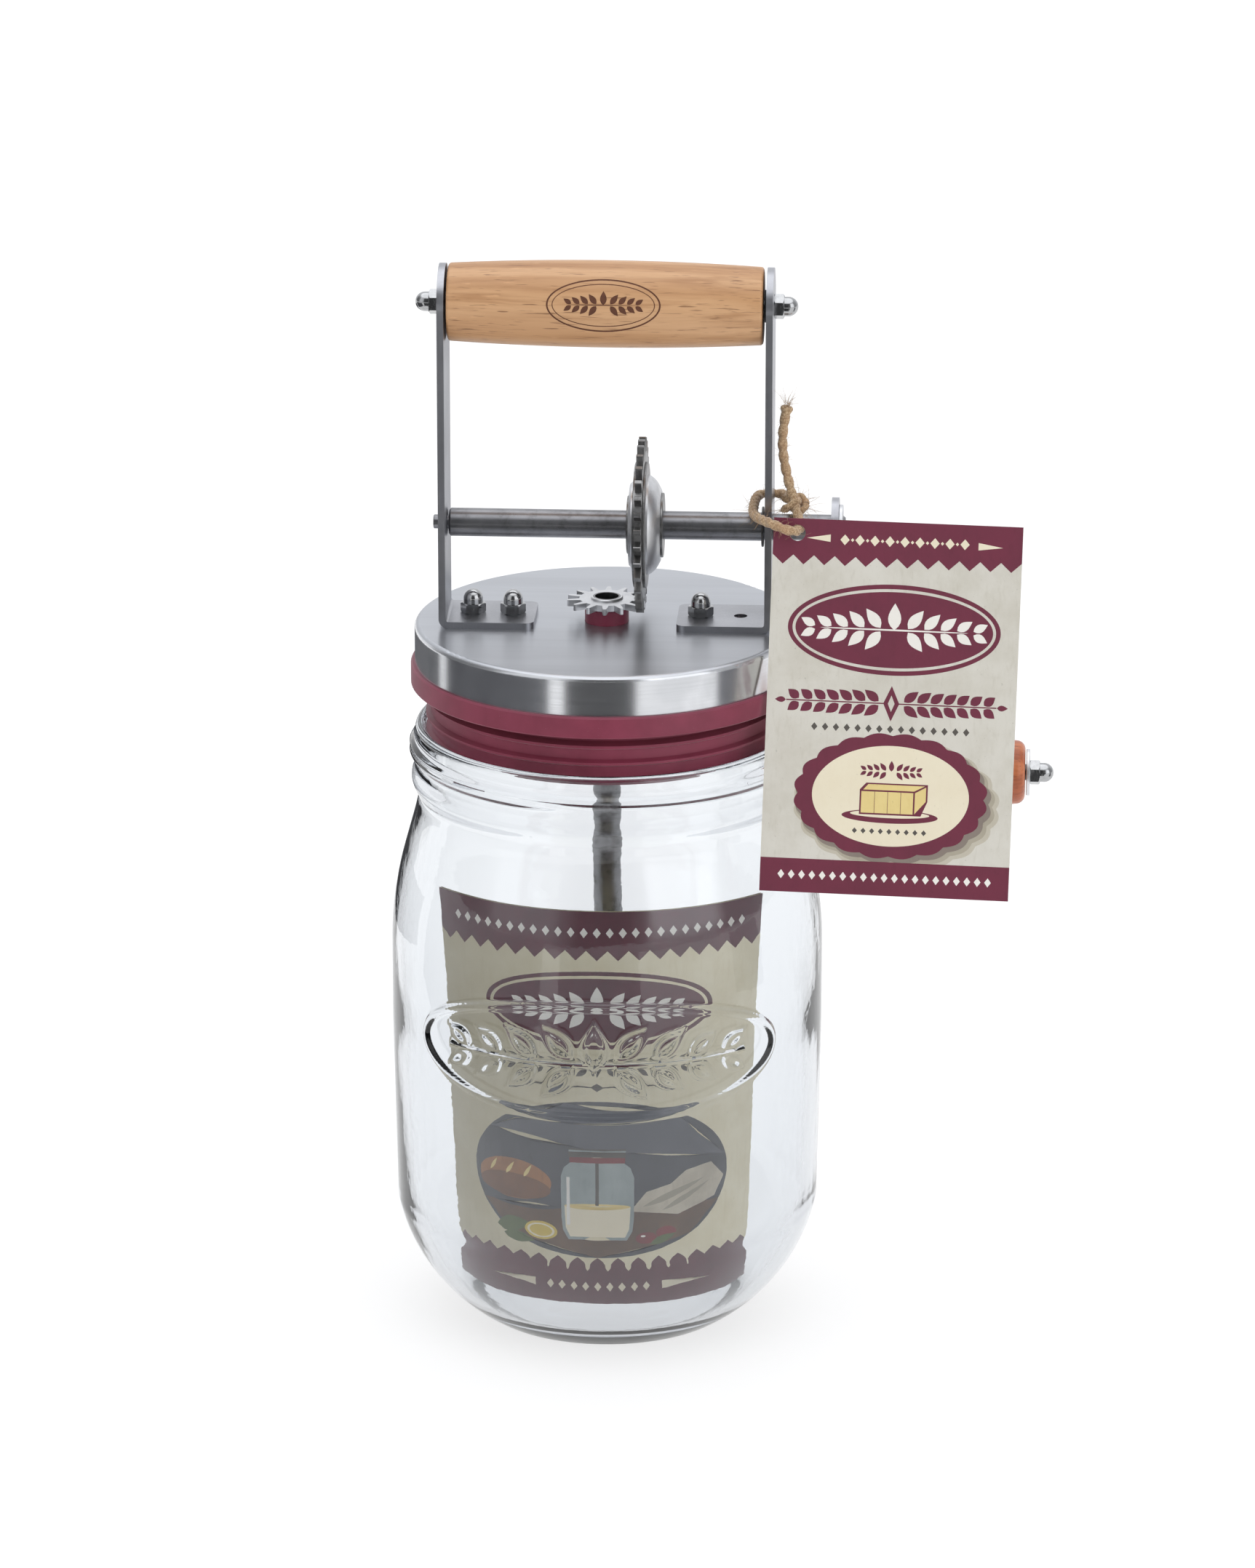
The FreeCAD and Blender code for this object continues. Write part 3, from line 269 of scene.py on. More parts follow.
# ---- mesh helpers
def piece(name, verts, faces, body, slot, materials=None, indexes=None, sharp=40):
    """A new smooth-shaded mesh piece that rides on a body, in its slot's finish unless materials are given."""
    mesh = bpy.data.meshes.new(name)
    mesh.from_pydata([tuple(v) for v in verts], [], [tuple(f) for f in faces])
    for made in materials or [FINISHES[slot]]:
        mesh.materials.append(made)
    if indexes is not None:
        mesh.polygons.foreach_set("material_index", indexes)
    mesh.shade_smooth()
    mesh.set_sharp_from_angle(angle=math.radians(sharp))
    mesh.update()
    made = linked(name, mesh)
    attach(made, body)
    return made


def skin(rings, closed=False):
    """Faces between neighbouring rings of vertex numbers. A ring of one repeated number is a pole."""
    faces = []
    for low, high in zip(rings, rings[1:] + (rings[:1] if closed else [])):
        for i in range(len(low)):
            j = (i + 1) % len(low)
            loop = [low[i], low[j], high[j], high[i]]
            face = [v for k, v in enumerate(loop) if v != loop[k - 1]]
            if len(face) > 2:
                faces.append(face)
    return faces


def arc(first, last, radius, side, count=24):
    """Points on the arc from first to last, without first, bulging to its left (side 1) or right."""
    a, b = Vector(first), Vector(last)
    chord = b - a
    half = chord.length / 2
    normal = Vector((-chord.y, chord.x)).normalized() * side
    centre = (a + b) / 2 - normal * math.sqrt(radius**2 - half**2)
    start = math.atan2(*(a - centre).yx)
    sweep = math.atan2(*(b - centre).yx) - start
    sweep = (sweep + math.pi) % math.tau - math.pi
    steps = [start + sweep * k / count for k in range(1, count + 1)]
    return [(centre.x + radius * math.cos(t), centre.y + radius * math.sin(t)) for t in steps]


def dense(points, step):
    """The same line with points no further apart than step."""
    out = [points[0]]
    for a, b in zip(points, points[1:]):
        count = max(1, math.ceil(math.dist(a, b) / step))
        out += [(a[0] + (b[0] - a[0]) * k / count, a[1] + (b[1] - a[1]) * k / count) for k in range(1, count + 1)]
    return out


def softened(points, rounds):
    """A line with its corners rounded by repeated averaging. Its ends stay."""
    line = np.array(points)
    for _ in range(rounds):
        line[1:-1] = 0.25 * line[:-2] + 0.5 * line[1:-1] + 0.25 * line[2:]
    return [tuple(p) for p in line]


def smoothstep(low, high, value):
    share = min(1.0, max(0.0, (value - low) / (high - low)))
    return share * share * (3 - 2 * share)


# ---- metals
def steel(name, tint, rough, along, lines, wear, grime=0.0):
    """Drawn or brushed steel, with fine lines along the axes where `along` is small."""
    made, tree, shader = material(name, Metallic=1.0, Anisotropic=0.35)
    fine = noise(tree, lines, 4, 0.6, along)
    broad = noise(tree, 55, 3, 0.6)
    spots = noise(tree, 700, 2, 0.5)
    colour = veiled(tree, broad, 0.3, 0.75, 1.0, scaled(tint, 1 - wear), tint)
    colour = mixed(tree, maths(tree, "MULTIPLY", fine, 0.5), colour, scaled(tint, 0.62))
    if grime:
        dirt = noise(tree, 240, 5, 0.7)
        colour = veiled(tree, dirt, 0.45, 0.72, grime, colour, (0.035, 0.030, 0.026, 1))
    shine = maths(tree, "MULTIPLY_ADD", fine, 0.16, rough - 0.08)
    shine = maths(tree, "MULTIPLY_ADD", spots, 0.10, maths(tree, "SUBTRACT", shine, 0.05), clamp=True)
    feed(tree, shader, fine, 0.35, 0.00001, Base_Color=colour, Roughness=shine)
    return made


def brushed_lid():
    """Satin sheet: lines run left to right on the top and round the skirt. The top is given a darker steel colour than
    the skirt, as painted shade.
    """
    made, tree, shader = material("brushed_lid", Metallic=1.0, Anisotropic=0.72)
    facing = add(tree, "SeparateXYZ", {0: add(tree, "TexCoord").outputs["Normal"]}).outputs[2]
    top = ramp(tree, facing, [(0.45, 0.0), (0.80, 1.0)])
    flat = noise(tree, 3600, 3, 0.6, (0.02, 1, 1))
    round_lines = noise(tree, 3000, 4, 0.6, (0.012, 0.012, 1))
    lines = mixed(tree, top, round_lines, flat)
    broad = noise(tree, 120, 3, 0.6, (0.05, 1, 0.4))
    clouds = noise(tree, 26, 3, 0.55)
    # Painted shade: the top takes a darker copy of the skirt's steel colour, in both the bright and the dull patches.
    bright = mixed(tree, top, (0.82, 0.83, 0.85, 1), (0.53, 0.545, 0.575, 1))
    dull = mixed(tree, top, (0.63, 0.64, 0.66, 1), (0.41, 0.42, 0.445, 1))
    share = ramp(tree, broad, [(0.35, 0.0), (0.7, 1.0)])
    share = maths(tree, "MULTIPLY", share, maths(tree, "MULTIPLY_ADD", top, -0.65, 1.0))
    colour = mixed(tree, share, bright, dull)
    line_share = maths(tree, "MULTIPLY_ADD", top, -0.18, 0.34)
    colour = mixed(tree, maths(tree, "MULTIPLY", lines, line_share), colour, (0.38, 0.385, 0.40, 1))
    shine = maths(tree, "MULTIPLY_ADD", clouds, 0.12, 0.20)
    shine = maths(tree, "MULTIPLY_ADD", lines, 0.10, shine)
    shine = maths(tree, "ADD", shine, maths(tree, "MULTIPLY_ADD", top, 0.09, -0.09))
    tangent = add(tree, "Mix", {0: top, 4: (0, 0, 1), 5: (0, 1, 0)}, data_type="VECTOR").outputs[1]
    feed(tree, shader, lines, 0.22, 0.00001, Base_Color=colour, Roughness=shine, Tangent=tangent)
    return made


def bright_metal():
    made, tree, shader = material("bright_fastener", Metallic=1.0)
    spots = noise(tree, 900, 4, 0.65)
    colour = mixed(tree, spots, (0.52, 0.525, 0.53, 1), (0.34, 0.34, 0.34, 1))
    scuffs = ramp(tree, noise(tree, 1500, 5, 0.7, (1, 1, 0.2)), [(0.45, 0.12), (0.8, 0.34)])
    feed(tree, shader, spots, 0.12, 0.00002, Base_Color=colour, Roughness=scuffs)
    return made


def dark_metal():
    made, tree, shader = material("dark_clip", Metallic=1.0)
    spots = noise(tree, 600, 4, 0.6)
    colour = mixed(tree, spots, (0.10, 0.10, 0.10, 1), (0.20, 0.19, 0.18, 1))
    tree.links.new(colour, shader.inputs["Base Color"])
    tree.links.new(ramp(tree, spots, [(0.3, 0.30), (0.7, 0.50)]), shader.inputs["Roughness"])
    return made


# ---- plastics, silicone, rubber
def moulded(name, colour, dark, rough, sheen=0.0):
    """A soft moulded skin: faint clouding, dust specks, a fine eggshell bump."""
    made, tree, shader = material(name, Sheen_Weight=sheen, Specular_IOR_Level=0.42)
    clouds = noise(tree, 45, 4, 0.6)
    specks = noise(tree, 2600, 2, 0.5)
    base = veiled(tree, clouds, 0.3, 0.75, 1.0, paint(*dark), paint(*colour))
    base = veiled(tree, specks, 0.70, 0.80, 0.22, base, paint(186, 150, 158))
    shine = maths(tree, "MULTIPLY_ADD", clouds, 0.18, rough - 0.09)
    grain = noise(tree, 1400, 3, 0.6)
    feed(tree, shader, grain, 0.18, 0.00003, Base_Color=base, Roughness=shine)
    return made


# ---- wood
def wood(name, pale, middle, dark, pore, rough, coat=0.12):
    """Straight-grained beech along X: growth bands, pores, short ray flecks and a satin finish."""
    made, tree, shader = material(name, Coat_Weight=coat, Coat_Roughness=0.32, Specular_IOR_Level=0.4)
    pale, middle, dark, pore = paint(*pale), paint(*middle), paint(*dark), paint(*pore)
    bend = add(tree, "TexNoise", {"Vector": coords(tree, (0.35, 1, 1)), "Scale": 34.0, "Detail": 2.0})
    warp = add(tree, "VectorMath", {0: bend.outputs["Color"], "Scale": 0.0042}, operation="SCALE").outputs[0]
    rings = add(
        tree,
        "TexWave",
        {
            "Vector": coords(tree, (0.03, 1, 0.55), warp), "Scale": 75.0, "Distortion": 3.2,
            "Detail": 3.0, "Detail Scale": 1.6, "Detail Roughness": 0.6,
        },
        bands_direction="DIAGONAL",
        wave_profile="SIN",
    ).outputs[1]
    fibre = noise(tree, 1500, 5, 0.65, (0.030, 1, 1), warp)
    streak = noise(tree, 420, 4, 0.6, (0.045, 1, 1), warp)
    pores = noise(tree, 2600, 2, 0.5, (0.05, 1, 1))
    flecks = noise(tree, 900, 2, 0.5, (0.16, 1, 1))
    colour = veiled(tree, rings, 0.15, 0.85, 1.0, middle, pale)
    colour = veiled(tree, streak, 0.42, 0.70, 0.75, colour, dark)
    colour = veiled(tree, fibre, 0.40, 0.75, 0.45, colour, middle)
    colour = veiled(tree, pores, 0.60, 0.72, 0.70, colour, pore)
    colour = veiled(tree, flecks, 0.66, 0.76, 0.35, colour, scaled(pale, 1.25))
    shine = maths(tree, "MULTIPLY_ADD", fibre, 0.22, rough - 0.11)
    height = maths(tree, "MULTIPLY_ADD", pores, -0.8, fibre)
    feed(tree, shader, height, 0.30, 0.00004, Base_Color=colour, Roughness=shine)
    return made


# ---- paper
# How far either side of the middle the painted shade on the left side runs, in metres.
PAINTED_SHADE_REACH = 0.036


def paper(name, colour, fleck, rough, mottle, coat=0.3, painted_left_shade=0.0):
    """Printed stock: clouded ink, faint upright fibres, fine specks, a low varnish. The last argument, when given,
    darkens its left side towards the left edge as painted shade.
    """
    made, tree, shader = material(name, Coat_Weight=coat, Coat_Roughness=0.28)
    colour, fleck = paint(*colour), paint(*fleck)
    clouds = noise(tree, 85, 5, 0.65)
    fibres = noise(tree, 900, 3, 0.6, (1, 1, 0.12))
    specks = noise(tree, 1500, 3, 0.6)
    base = veiled(tree, clouds, 0.30, 0.75, mottle, colour, fleck)
    base = veiled(tree, fibres, 0.50, 0.80, mottle * 0.7, base, fleck)
    base = veiled(tree, specks, 0.66, 0.76, mottle * 0.8, base, scaled(fleck, 0.6))
    # Painted shade: the stock darkens towards its left edge, standing in for light that falls from the right.
    if painted_left_shade:
        across = add(tree, "SeparateXYZ", {0: coords(tree)}).outputs[0]
        painted_shade_share = add(tree, "MapRange", {0: across, 1: -PAINTED_SHADE_REACH, 2: PAINTED_SHADE_REACH, 3: painted_left_shade, 4: 0.0}).outputs[0]
        base = mixed(tree, painted_shade_share, base, scaled(fleck, 0.45))
    shine = maths(tree, "MULTIPLY_ADD", clouds, 0.14, rough - 0.07)
    feed(tree, shader, fibres, 0.12, 0.00003, Base_Color=base, Roughness=shine)
    return made


# ---- glass
GLASS_TINT, GLASS_DENSITY = (0.51, 0.545, 0.60, 1), 58.0


def clear_glass():
    made, tree, shader = material(
        "clear_glass", Base_Color=(0.985, 0.995, 1.0, 1), Roughness=0.0, IOR=1.52, Transmission_Weight=1.0
    )
    ripple = noise(tree, 38, 3, 0.5, (1, 1, 0.35))
    seeds = noise(tree, 420, 2, 0.5)
    height = maths(tree, "MULTIPLY_ADD", seeds, 0.05, ripple)
    feed(tree, shader, height, 0.16, 0.0016)
    tint = add(tree, "VolumeAbsorption", {"Color": GLASS_TINT, "Density": GLASS_DENSITY})
    tree.links.new(tint.outputs[0], tree.nodes["Material Output"].inputs["Volume"])
    return made


def jute():
    made, tree, shader = material("jute_twine", Roughness=0.85, Sheen_Weight=0.35, Specular_IOR_Level=0.2)
    strands = noise(tree, 2400, 4, 0.65)
    clouds = noise(tree, 260, 3, 0.6)
    colour = veiled(tree, strands, 0.35, 0.70, 1.0, paint(152, 122, 90), paint(218, 192, 156))
    colour = veiled(tree, clouds, 0.40, 0.75, 0.6, colour, paint(174, 134, 100))
    feed(tree, shader, strands, 0.6, 0.0001, Base_Color=colour)
    return made


# Each finish, by the record's material slot. rod_steel is for the shafts inside the jar.
FINISHES = {
    "clear_glass": clear_glass(),
    "brushed_lid": brushed_lid(),
    "bright_fastener": bright_metal(),
    "dark_clip": dark_metal(),
    "jute_twine": jute(),
}
for make, name, *values in (
    (steel, "strap_steel", (0.50, 0.505, 0.535, 1), 0.34, (1, 1, 0.03), 2000, 0.25),
    (steel, "shaft_steel", (0.33, 0.33, 0.345, 1), 0.33, (0.02, 1, 1), 1600, 0.3, 0.35),
    (steel, "rod_steel", (0.36, 0.36, 0.37, 1), 0.38, (1, 1, 0.06), 900, 0.35, 0.5),
    (steel, "gear_steel", (0.36, 0.358, 0.355, 1), 0.34, (1, 0.4, 0.4), 700, 0.3, 0.6),
    (steel, "pressed_steel", (0.86, 0.865, 0.88, 1), 0.36, (1, 0.2, 0.2), 900, 0.2, 0.15),
    (moulded, "burgundy_silicone", (140, 52, 76), (118, 38, 60), 0.46, 0.15),
    (moulded, "burgundy_plastic", (126, 40, 62), (104, 30, 50), 0.36),
    (moulded, "black_rubber", (34, 34, 36), (22, 22, 24), 0.55),
    (wood, "pale_wood", (212, 167, 124), (198, 151, 107), (168, 120, 79), (118, 78, 49), 0.46),
    (wood, "amber_wood", (198, 116, 72), (174, 92, 54), (140, 68, 38), (98, 46, 24), 0.40, 0.25),
):
    FINISHES[name] = make(name, *values)

for part in frame["record"]["subparts"]:
    found = FINISHES.get(part["material_slot"])
    if found is None:
        continue
    if part["node"] in ("beater_shaft", "stop_collar", "paddle_pin"):
        found = FINISHES["rod_steel"]
    held = NODES[part["node"]].data
    held.materials.clear()
    held.materials.append(found)


# ---- the jar
def ellipse_gap(across, height, wide, tall):
    """Roughly the distance from a point to an ellipse's line, negative inside."""
    share = math.hypot(across / wide, height / tall)
    if share < 1e-6:
        return -min(wide, tall)
    slope = math.hypot(across / wide**2, height / tall**2) / share
    return (share - 1) / max(slope, 1e-6)


QUARTERS = [(-1, -1), (-1, 1), (1, -1), (1, 1)]
# The raised mark's leaves: root across and up, length, half width, and lean in degrees.
LEAVES = [(0.0, -1.5, 12.0, 3.4, 90.0)]
for step in range(4):
    reach = 5.5 + 9.2 * step
    long, wide, lean = 11.0 - 1.1 * step, 2.7 - 0.25 * step, 46 - 6 * step
    for side, lift in QUARTERS:
        LEAVES.append((side * reach, lift * 1.3, long, wide, lift * (90 - side * (90 - lean))))


def leaf_cover(across, height):
    """How far inside a leaf of the sprig a point is, in millimetres, or a negative distance."""
    best = -9.0
    for left, low, long, wide, lean in LEAVES:
        turn = math.radians(lean)
        x, y = across - left, height - low
        run = x * math.cos(turn) + y * math.sin(turn)
        off = abs(y * math.cos(turn) - x * math.sin(turn))
        if -1 < run < long + 1:
            share = min(1.0, max(0.0, run / long))
            best = max(best, wide * math.sin(math.pi * share**0.8) - off)
    return best


MARK_HEIGHT = 83.4
MARK_WIDE, MARK_TALL = 49.5, 14.8
MARK_RAISE, MARK_EDGE = 0.75, 0.4
MARK_FRAME, MARK_STEM, MARK_VEIN = 0.9, 0.45, 0.75
JAR_RADIUS = 54.0
THREAD_TOP, THREAD_PITCH, THREAD_RAISE, THREAD_WIDTH = 150.6, 3.4, 1.35, 1.15
THREAD_START, THREAD_FOOT = 0.6, (142.6, 144.4)
SEAM_RAISE, SEAM_WIDTH = 0.10, 0.5
FRONT_START, FRONT_STEP, FRONT_COUNT, REST_COUNT = -57, 0.38, 301, 132
WAVE_RATES = (0.05, 0.03, 0.08, 0.02, 0.06, 0.04, 0.07)
WALL_THINNING = 0.12


def mark_relief(angle, height):
    """The raised mark on the jar's front: an oval frame round a leaf sprig."""
    across = angle * JAR_RADIUS
    up = height - MARK_HEIGHT
    if abs(across) > MARK_WIDE + 3 or abs(up) > MARK_TALL + 3:
        return 0.0
    frame_line = MARK_FRAME - abs(ellipse_gap(across, up, MARK_WIDE, MARK_TALL))
    stem = MARK_STEM - abs(up) if abs(across) < 40 else -1.0
    leaf_edge = MARK_VEIN - abs(leaf_cover(across, up) - MARK_VEIN)
    return MARK_RAISE * smoothstep(-MARK_EDGE, MARK_EDGE, max(frame_line, stem, leaf_edge))


def thread_relief(angle, height):
    """Two starts of a rounded screw thread that fade in and out round the neck."""
    total = 0.0
    for start in (THREAD_START, THREAD_START + math.pi):
        turn = (angle - start) % math.tau
        centre = THREAD_TOP - THREAD_PITCH * turn / math.tau
        ends = smoothstep(0.0, 0.35, turn) * (1 - smoothstep(5.2, 5.7, turn))
        total = max(total, THREAD_RAISE * ends * math.exp(-(((height - centre) / THREAD_WIDTH) ** 2)))
    return total


def make_jar():
    """The glass: a turned wall, (radius, height) in millimetres, with its mark, thread, seams and uneven inside."""
    outer = [(0, 2.6), (15, 2.6), (21, 2.3), (25.5, 1.2), (28.0, 0.15), (29.5, 0.0), (31.0, 0.1), (32.0, 0.35)]
    outer += arc((32.0, 0.35), (53, 30), 46, -1)
    outer += [(54, 78), (54, 98)] + arc((54, 98), (50.4, 122.8), 87, -1)
    outer += [(48.0, 131.5), (47.15, 135.2), (47.15, 137.0), (47.8, 138.6), (48.75, 140.6), (48.75, 142.2)]
    outer += [(47.9, 144.0), (47.8, 154.0), (47.3, 155.1), (46.5, 155.5), (45.9, 155.3), (45.1, 154.3)]
    inner = [(45.1, 137.0), (45.2, 135.2), (45.9, 131.2), (48.2, 122.5)] + arc((48.2, 122.5), (51.6, 98), 85, 1)
    inner += [(51.4, 88), (50.5, 74), (49.5, 31.5)] + arc((49.5, 31.5), (34.6, 6.0), 42.6, 1) + [(12, 6.0), (0, 6.0)]
    lower = softened(dense(outer, 0.5), 6)
    upper = softened(dense([outer[-1]] + inner, 1.6), 5)
    profile = lower + upper[1:]
    turning = len(lower)
    front = [math.radians(FRONT_START + FRONT_STEP * k) for k in range(FRONT_COUNT)]
    back = math.tau - (front[-1] - front[0])
    rest = [front[-1] + back * k / REST_COUNT for k in range(1, REST_COUNT)]
    angles = front + rest
    rng = random.Random(5)
    waves = [(rng.randint(2, 7), rng.uniform(0.02, 0.09), rng.uniform(0, 6.28)) for _ in range(7)]

    verts, rings = [], []
    for index, (radius, height) in enumerate(profile):
        if radius < 0.01:
            rings.append([len(verts)] * len(angles))
            verts.append(Vector((0, 0, height)))
            continue
        start = len(verts)
        body = smoothstep(6, 24, height) * (1 - smoothstep(118, 134, height))
        for angle in angles:
            wrapped = (angle + math.pi) % math.tau - math.pi
            spot = radius
            if index < turning:
                spot += mark_relief(wrapped, height)
                if height > THREAD_FOOT[0] and radius > 46:
                    spot += thread_relief(angle, height) * smoothstep(*THREAD_FOOT, height)
                seam = abs(abs(wrapped) - 1.571) * JAR_RADIUS
                ends = smoothstep(3, 12, height) * (1 - smoothstep(150, 153, height))
                spot += SEAM_RAISE * math.exp(-((seam / SEAM_WIDTH) ** 2)) * ends
            else:
                wave = sum(a * math.sin(n * angle + p + height * f) for (n, a, p), f in zip(waves, WAVE_RATES))
                spot -= body * (WALL_THINNING + wave)
            verts.append(Vector((spot * math.sin(angle), -spot * math.cos(angle), height)))
        rings.append(range(start, start + len(angles)))
    jar = piece("jar_shell", [v * MM for v in verts], skin(rings), "jar", "clear_glass", sharp=75)
    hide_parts("glass_jar")


make_jar()


# ---- printed sheets
# Print is drawn in millimetres from the sheet's lower left corner. A shape is a list of points.
def ellipse(x, y, wide, tall, count, scallops=0, bite=0.0):
    out = []
    for k in range(count):
        angle = math.tau * k / count
        swell = 1 + bite * abs(math.sin(scallops * angle / 2)) if scallops else 1
        out.append((x + wide * swell * math.cos(angle), y + tall * swell * math.sin(angle)))
    return out


def leaf(x, y, long, wide, lean, count=7):
    """A pointed leaf from its root at (x, y)."""
    turn = math.radians(lean)
    edge = [(long * k / count, wide * math.sin(math.pi * (k / count) ** 0.8)) for k in range(count + 1)]
    line = edge + [(run, -off) for run, off in edge[-2:0:-1]]
    cos, sin = math.cos(turn), math.sin(turn)
    return [(x + run * cos - off * sin, y + run * sin + off * cos) for run, off in line]


def diamond(x, y, wide, tall):
    return [(x - wide, y), (x, y - tall), (x + wide, y), (x, y + tall)]


def bar(x0, y0, x1, y1):
    return [(x0, y0), (x1, y0), (x1, y1), (x0, y1)]


def zigzag(left, right, flat, edge, depth, count):
    """A band from its flat side to a side cut in teeth."""
    line = []
    for k in range(count * 2 + 1):
        line.append((left + (right - left) * k / (2 * count), edge + (depth if k % 2 else 0)))
    return [(left, flat)] + line + [(right, flat)]


def sprig(x, y, size, pairs):
    """A level sprig: leaf pairs either side of an upright middle leaf."""
    out = [leaf(x, y, 5.2 * size, 1.25 * size, 90)]
    for k in range(pairs):
        reach = (2.6 + 3.1 * k) * size
        long, wide, lean = (4.6 - 0.4 * k) * size, (1.1 - 0.07 * k) * size, 52 - 6 * k
        for side, lift in QUARTERS:
            turn = lift * (90 - side * (90 - lean))
            out.append(leaf(x + side * reach, y + lift * 0.35 * size, long, wide, turn))
    return out


def lozenges(x0, x1, y, count, wide, tall):
    return [diamond(x0 + (x1 - x0) * k / (count - 1), y, wide, tall) for k in range(count)]


def mirrored(x, y, half):
    """A closed outline round (x, y) from its right half, bottom to top."""
    left = [(x - across, y + up) for across, up in reversed(half)]
    return left[-1:] + [(x + across, y + up) for across, up in half] + left[:-1]


def press():
    """An empty list of layers, and put(ink, *shapes), which prints on it."""
    out = []

    def put(ink, *shapes):
        out.extend((ink, shape) for shape in shapes)

    return out, put


def printed(name, size, place, sink, layers, body, slot, stock, step, hole=None, back=()):
    """A closed sheet whose front carries crisp print: layers are (material, outline) from the bottom up.

    size is its width, height and thickness. place(u, v, w) gives the point at u from the left, v from the bottom and
    w back, and the front face is at sink. back holds (material, low, high) bands for the other face.
    """
    width, height, thickness = size
    materials = list(dict.fromkeys([stock] + [made for made, _ in layers] + [made for made, _, _ in back]))
    points, outlines, owners = [], [], []

    def outline_of(points_in, owner):
        clipped = [(min(width, max(0.0, u)), min(height, max(0.0, v))) for u, v in points_in]
        area = sum(a[0] * b[1] - b[0] * a[1] for a, b in zip(clipped, clipped[1:] + clipped[:1]))
        if area < 0:
            clipped.reverse()
        start = len(points)
        points.extend(Vector(p) for p in clipped)
        outlines.append(list(range(start, start + len(clipped))))
        owners.append(owner)

    count_u, count_v = max(1, round(width / step)), max(1, round(height / step))
    rim = [(width * k / count_u, 0) for k in range(count_u)]
    rim += [(width, height * k / count_v) for k in range(count_v)]
    rim += [(width - width * k / count_u, height) for k in range(count_u)]
    rim += [(0, height - height * k / count_v) for k in range(count_v)]
    outline_of(rim, 0)
    for _, low, high in back:
        outline_of(bar(0, low, width, high), 0)
    for made, shape in layers:
        outline_of(shape, materials.index(made))
    if hole:
        outline_of(ellipse(*hole, hole[2], 28), -1)
    for i in range(1, count_u):
        for j in range(1, count_v):
            points.append(Vector((width * (i + 0.13 * (j % 2)) / count_u, height * j / count_v)))
    flat, _, triangles, _, _, sources = delaunay_2d_cdt(points, [], outlines, 1, 1e-5, True)
    kept, tops = [], []
    for triangle, source in zip(triangles, sources):
        owner = owners[max(source)] if source else 0
        if owner < 0:
            continue
        kept.append(list(triangle))
        tops.append(owner)
    total = len(flat)
    verts = [place(p.x, p.y, depth) for depth in (sink, sink + thickness) for p in flat]
    edges = dict.fromkeys(edge for face in kept for edge in zip(face, face[1:] + face[:1]))
    faces, indexes = list(kept), list(tops)
    for face in kept:
        faces.append([v + total for v in reversed(face)])
        middle = sum(flat[v].y for v in face) / len(face)
        held = [materials.index(made) for made, low, high in back if low < middle < high]
        indexes.append(held[-1] if held else 0)
    for a, b in edges:
        if (b, a) not in edges:
            faces.append([b, a, a + total, b + total])
            indexes.append(0)
    used = sorted({v for face in faces for v in face})
    lookup = {v: k for k, v in enumerate(used)}
    faces = [[lookup[v] for v in face] for face in faces]
    return piece(name, [verts[v] * MM for v in used], faces, body, slot, materials, indexes, sharp=35)


BURGUNDY = paper("ink_burgundy", (118, 48, 68), (100, 40, 58), 0.42, 0.5, 0.35)
CREAM = paper("stock_cream", (219, 215, 204), (194, 188, 172), 0.50, 0.55, 0.2)
LIGHT = paper("ink_light", (240, 230, 204), (230, 216, 186), 0.46, 0.35, 0.25)
PALE = paper("ink_pale", (244, 240, 232), (232, 226, 214), 0.46, 0.3, 0.25)
GREY = paper("ink_grey", (92, 86, 80), (74, 68, 64), 0.50, 0.4, 0.15)
SHADE = paper("ink_shade", (176, 168, 150), (160, 150, 132), 0.50, 0.5, 0.15)
NIGHT = paper("ink_night", (74, 76, 84), (48, 50, 58), 0.40, 0.8)
BOARD = paper("ink_board", (112, 82, 58), (74, 52, 38), 0.42, 0.8)
LOAF = paper("ink_loaf", (176, 120, 72), (126, 80, 46), 0.42, 0.8)
CLOTH = paper("ink_cloth", (214, 204, 184), (176, 166, 148), 0.42, 0.7)
PANE = paper("ink_pane", (168, 178, 176), (120, 132, 134), 0.40, 0.6)
BUTTER = paper("ink_butter", (236, 214, 146), (218, 192, 120), 0.42, 0.4)
GREEN = paper("ink_green", (92, 108, 60), (66, 80, 42), 0.42, 0.6)
LEMON = paper("ink_lemon", (222, 196, 92), (196, 168, 70), 0.42, 0.4)
BERRY = paper("ink_berry", (132, 40, 44), (96, 26, 32), 0.40, 0.5)
BOOK_BURGUNDY = paper("book_burgundy", (96, 34, 52), (74, 26, 40), 0.40, 0.6)
# The booklet's stock carries painted shade on its left side.
BOOK_CREAM = paper("book_cream", (252, 243, 214), (232, 219, 182), 0.50, 0.6, 0.15, painted_left_shade=0.50)
HALO = paper("ink_halo", (198, 191, 174), (182, 174, 154), 0.50, 0.5, 0.15)
DUSK = paper("ink_dusk", (96, 98, 106), (78, 80, 90), 0.40, 0.8)
CRUST = paper("ink_crust", (128, 82, 48), (96, 58, 34), 0.42, 0.8)
DEEP = paper("ink_deep", (140, 128, 118), (126, 114, 104), 0.50, 0.5, 0.15)


# The tag: its corner, its lean, its roll and its turn are the CAD solid's.
TAG_CORNER = Vector((42.0, -17.2, 213.3))
TAG_WIDTH, TAG_HEIGHT, TAG_PAPER = 61.0, 91.5, 0.24
TAG_BAND = 8.2
TAG_TURN = (
    Matrix.Rotation(math.radians(-2.2), 3, "Z")
    @ Matrix.Rotation(math.radians(-15.2), 3, "X")
    @ Matrix.Rotation(math.radians(0.8), 3, "Y")
)


def on_tag(u, v, w):
    """place() for the tag's leaves, which have a slight bow."""
    bow = 0.10 * math.sin(math.pi * u / TAG_WIDTH)
    return TAG_CORNER + TAG_TURN @ Vector((u, w + bow, v - TAG_HEIGHT))


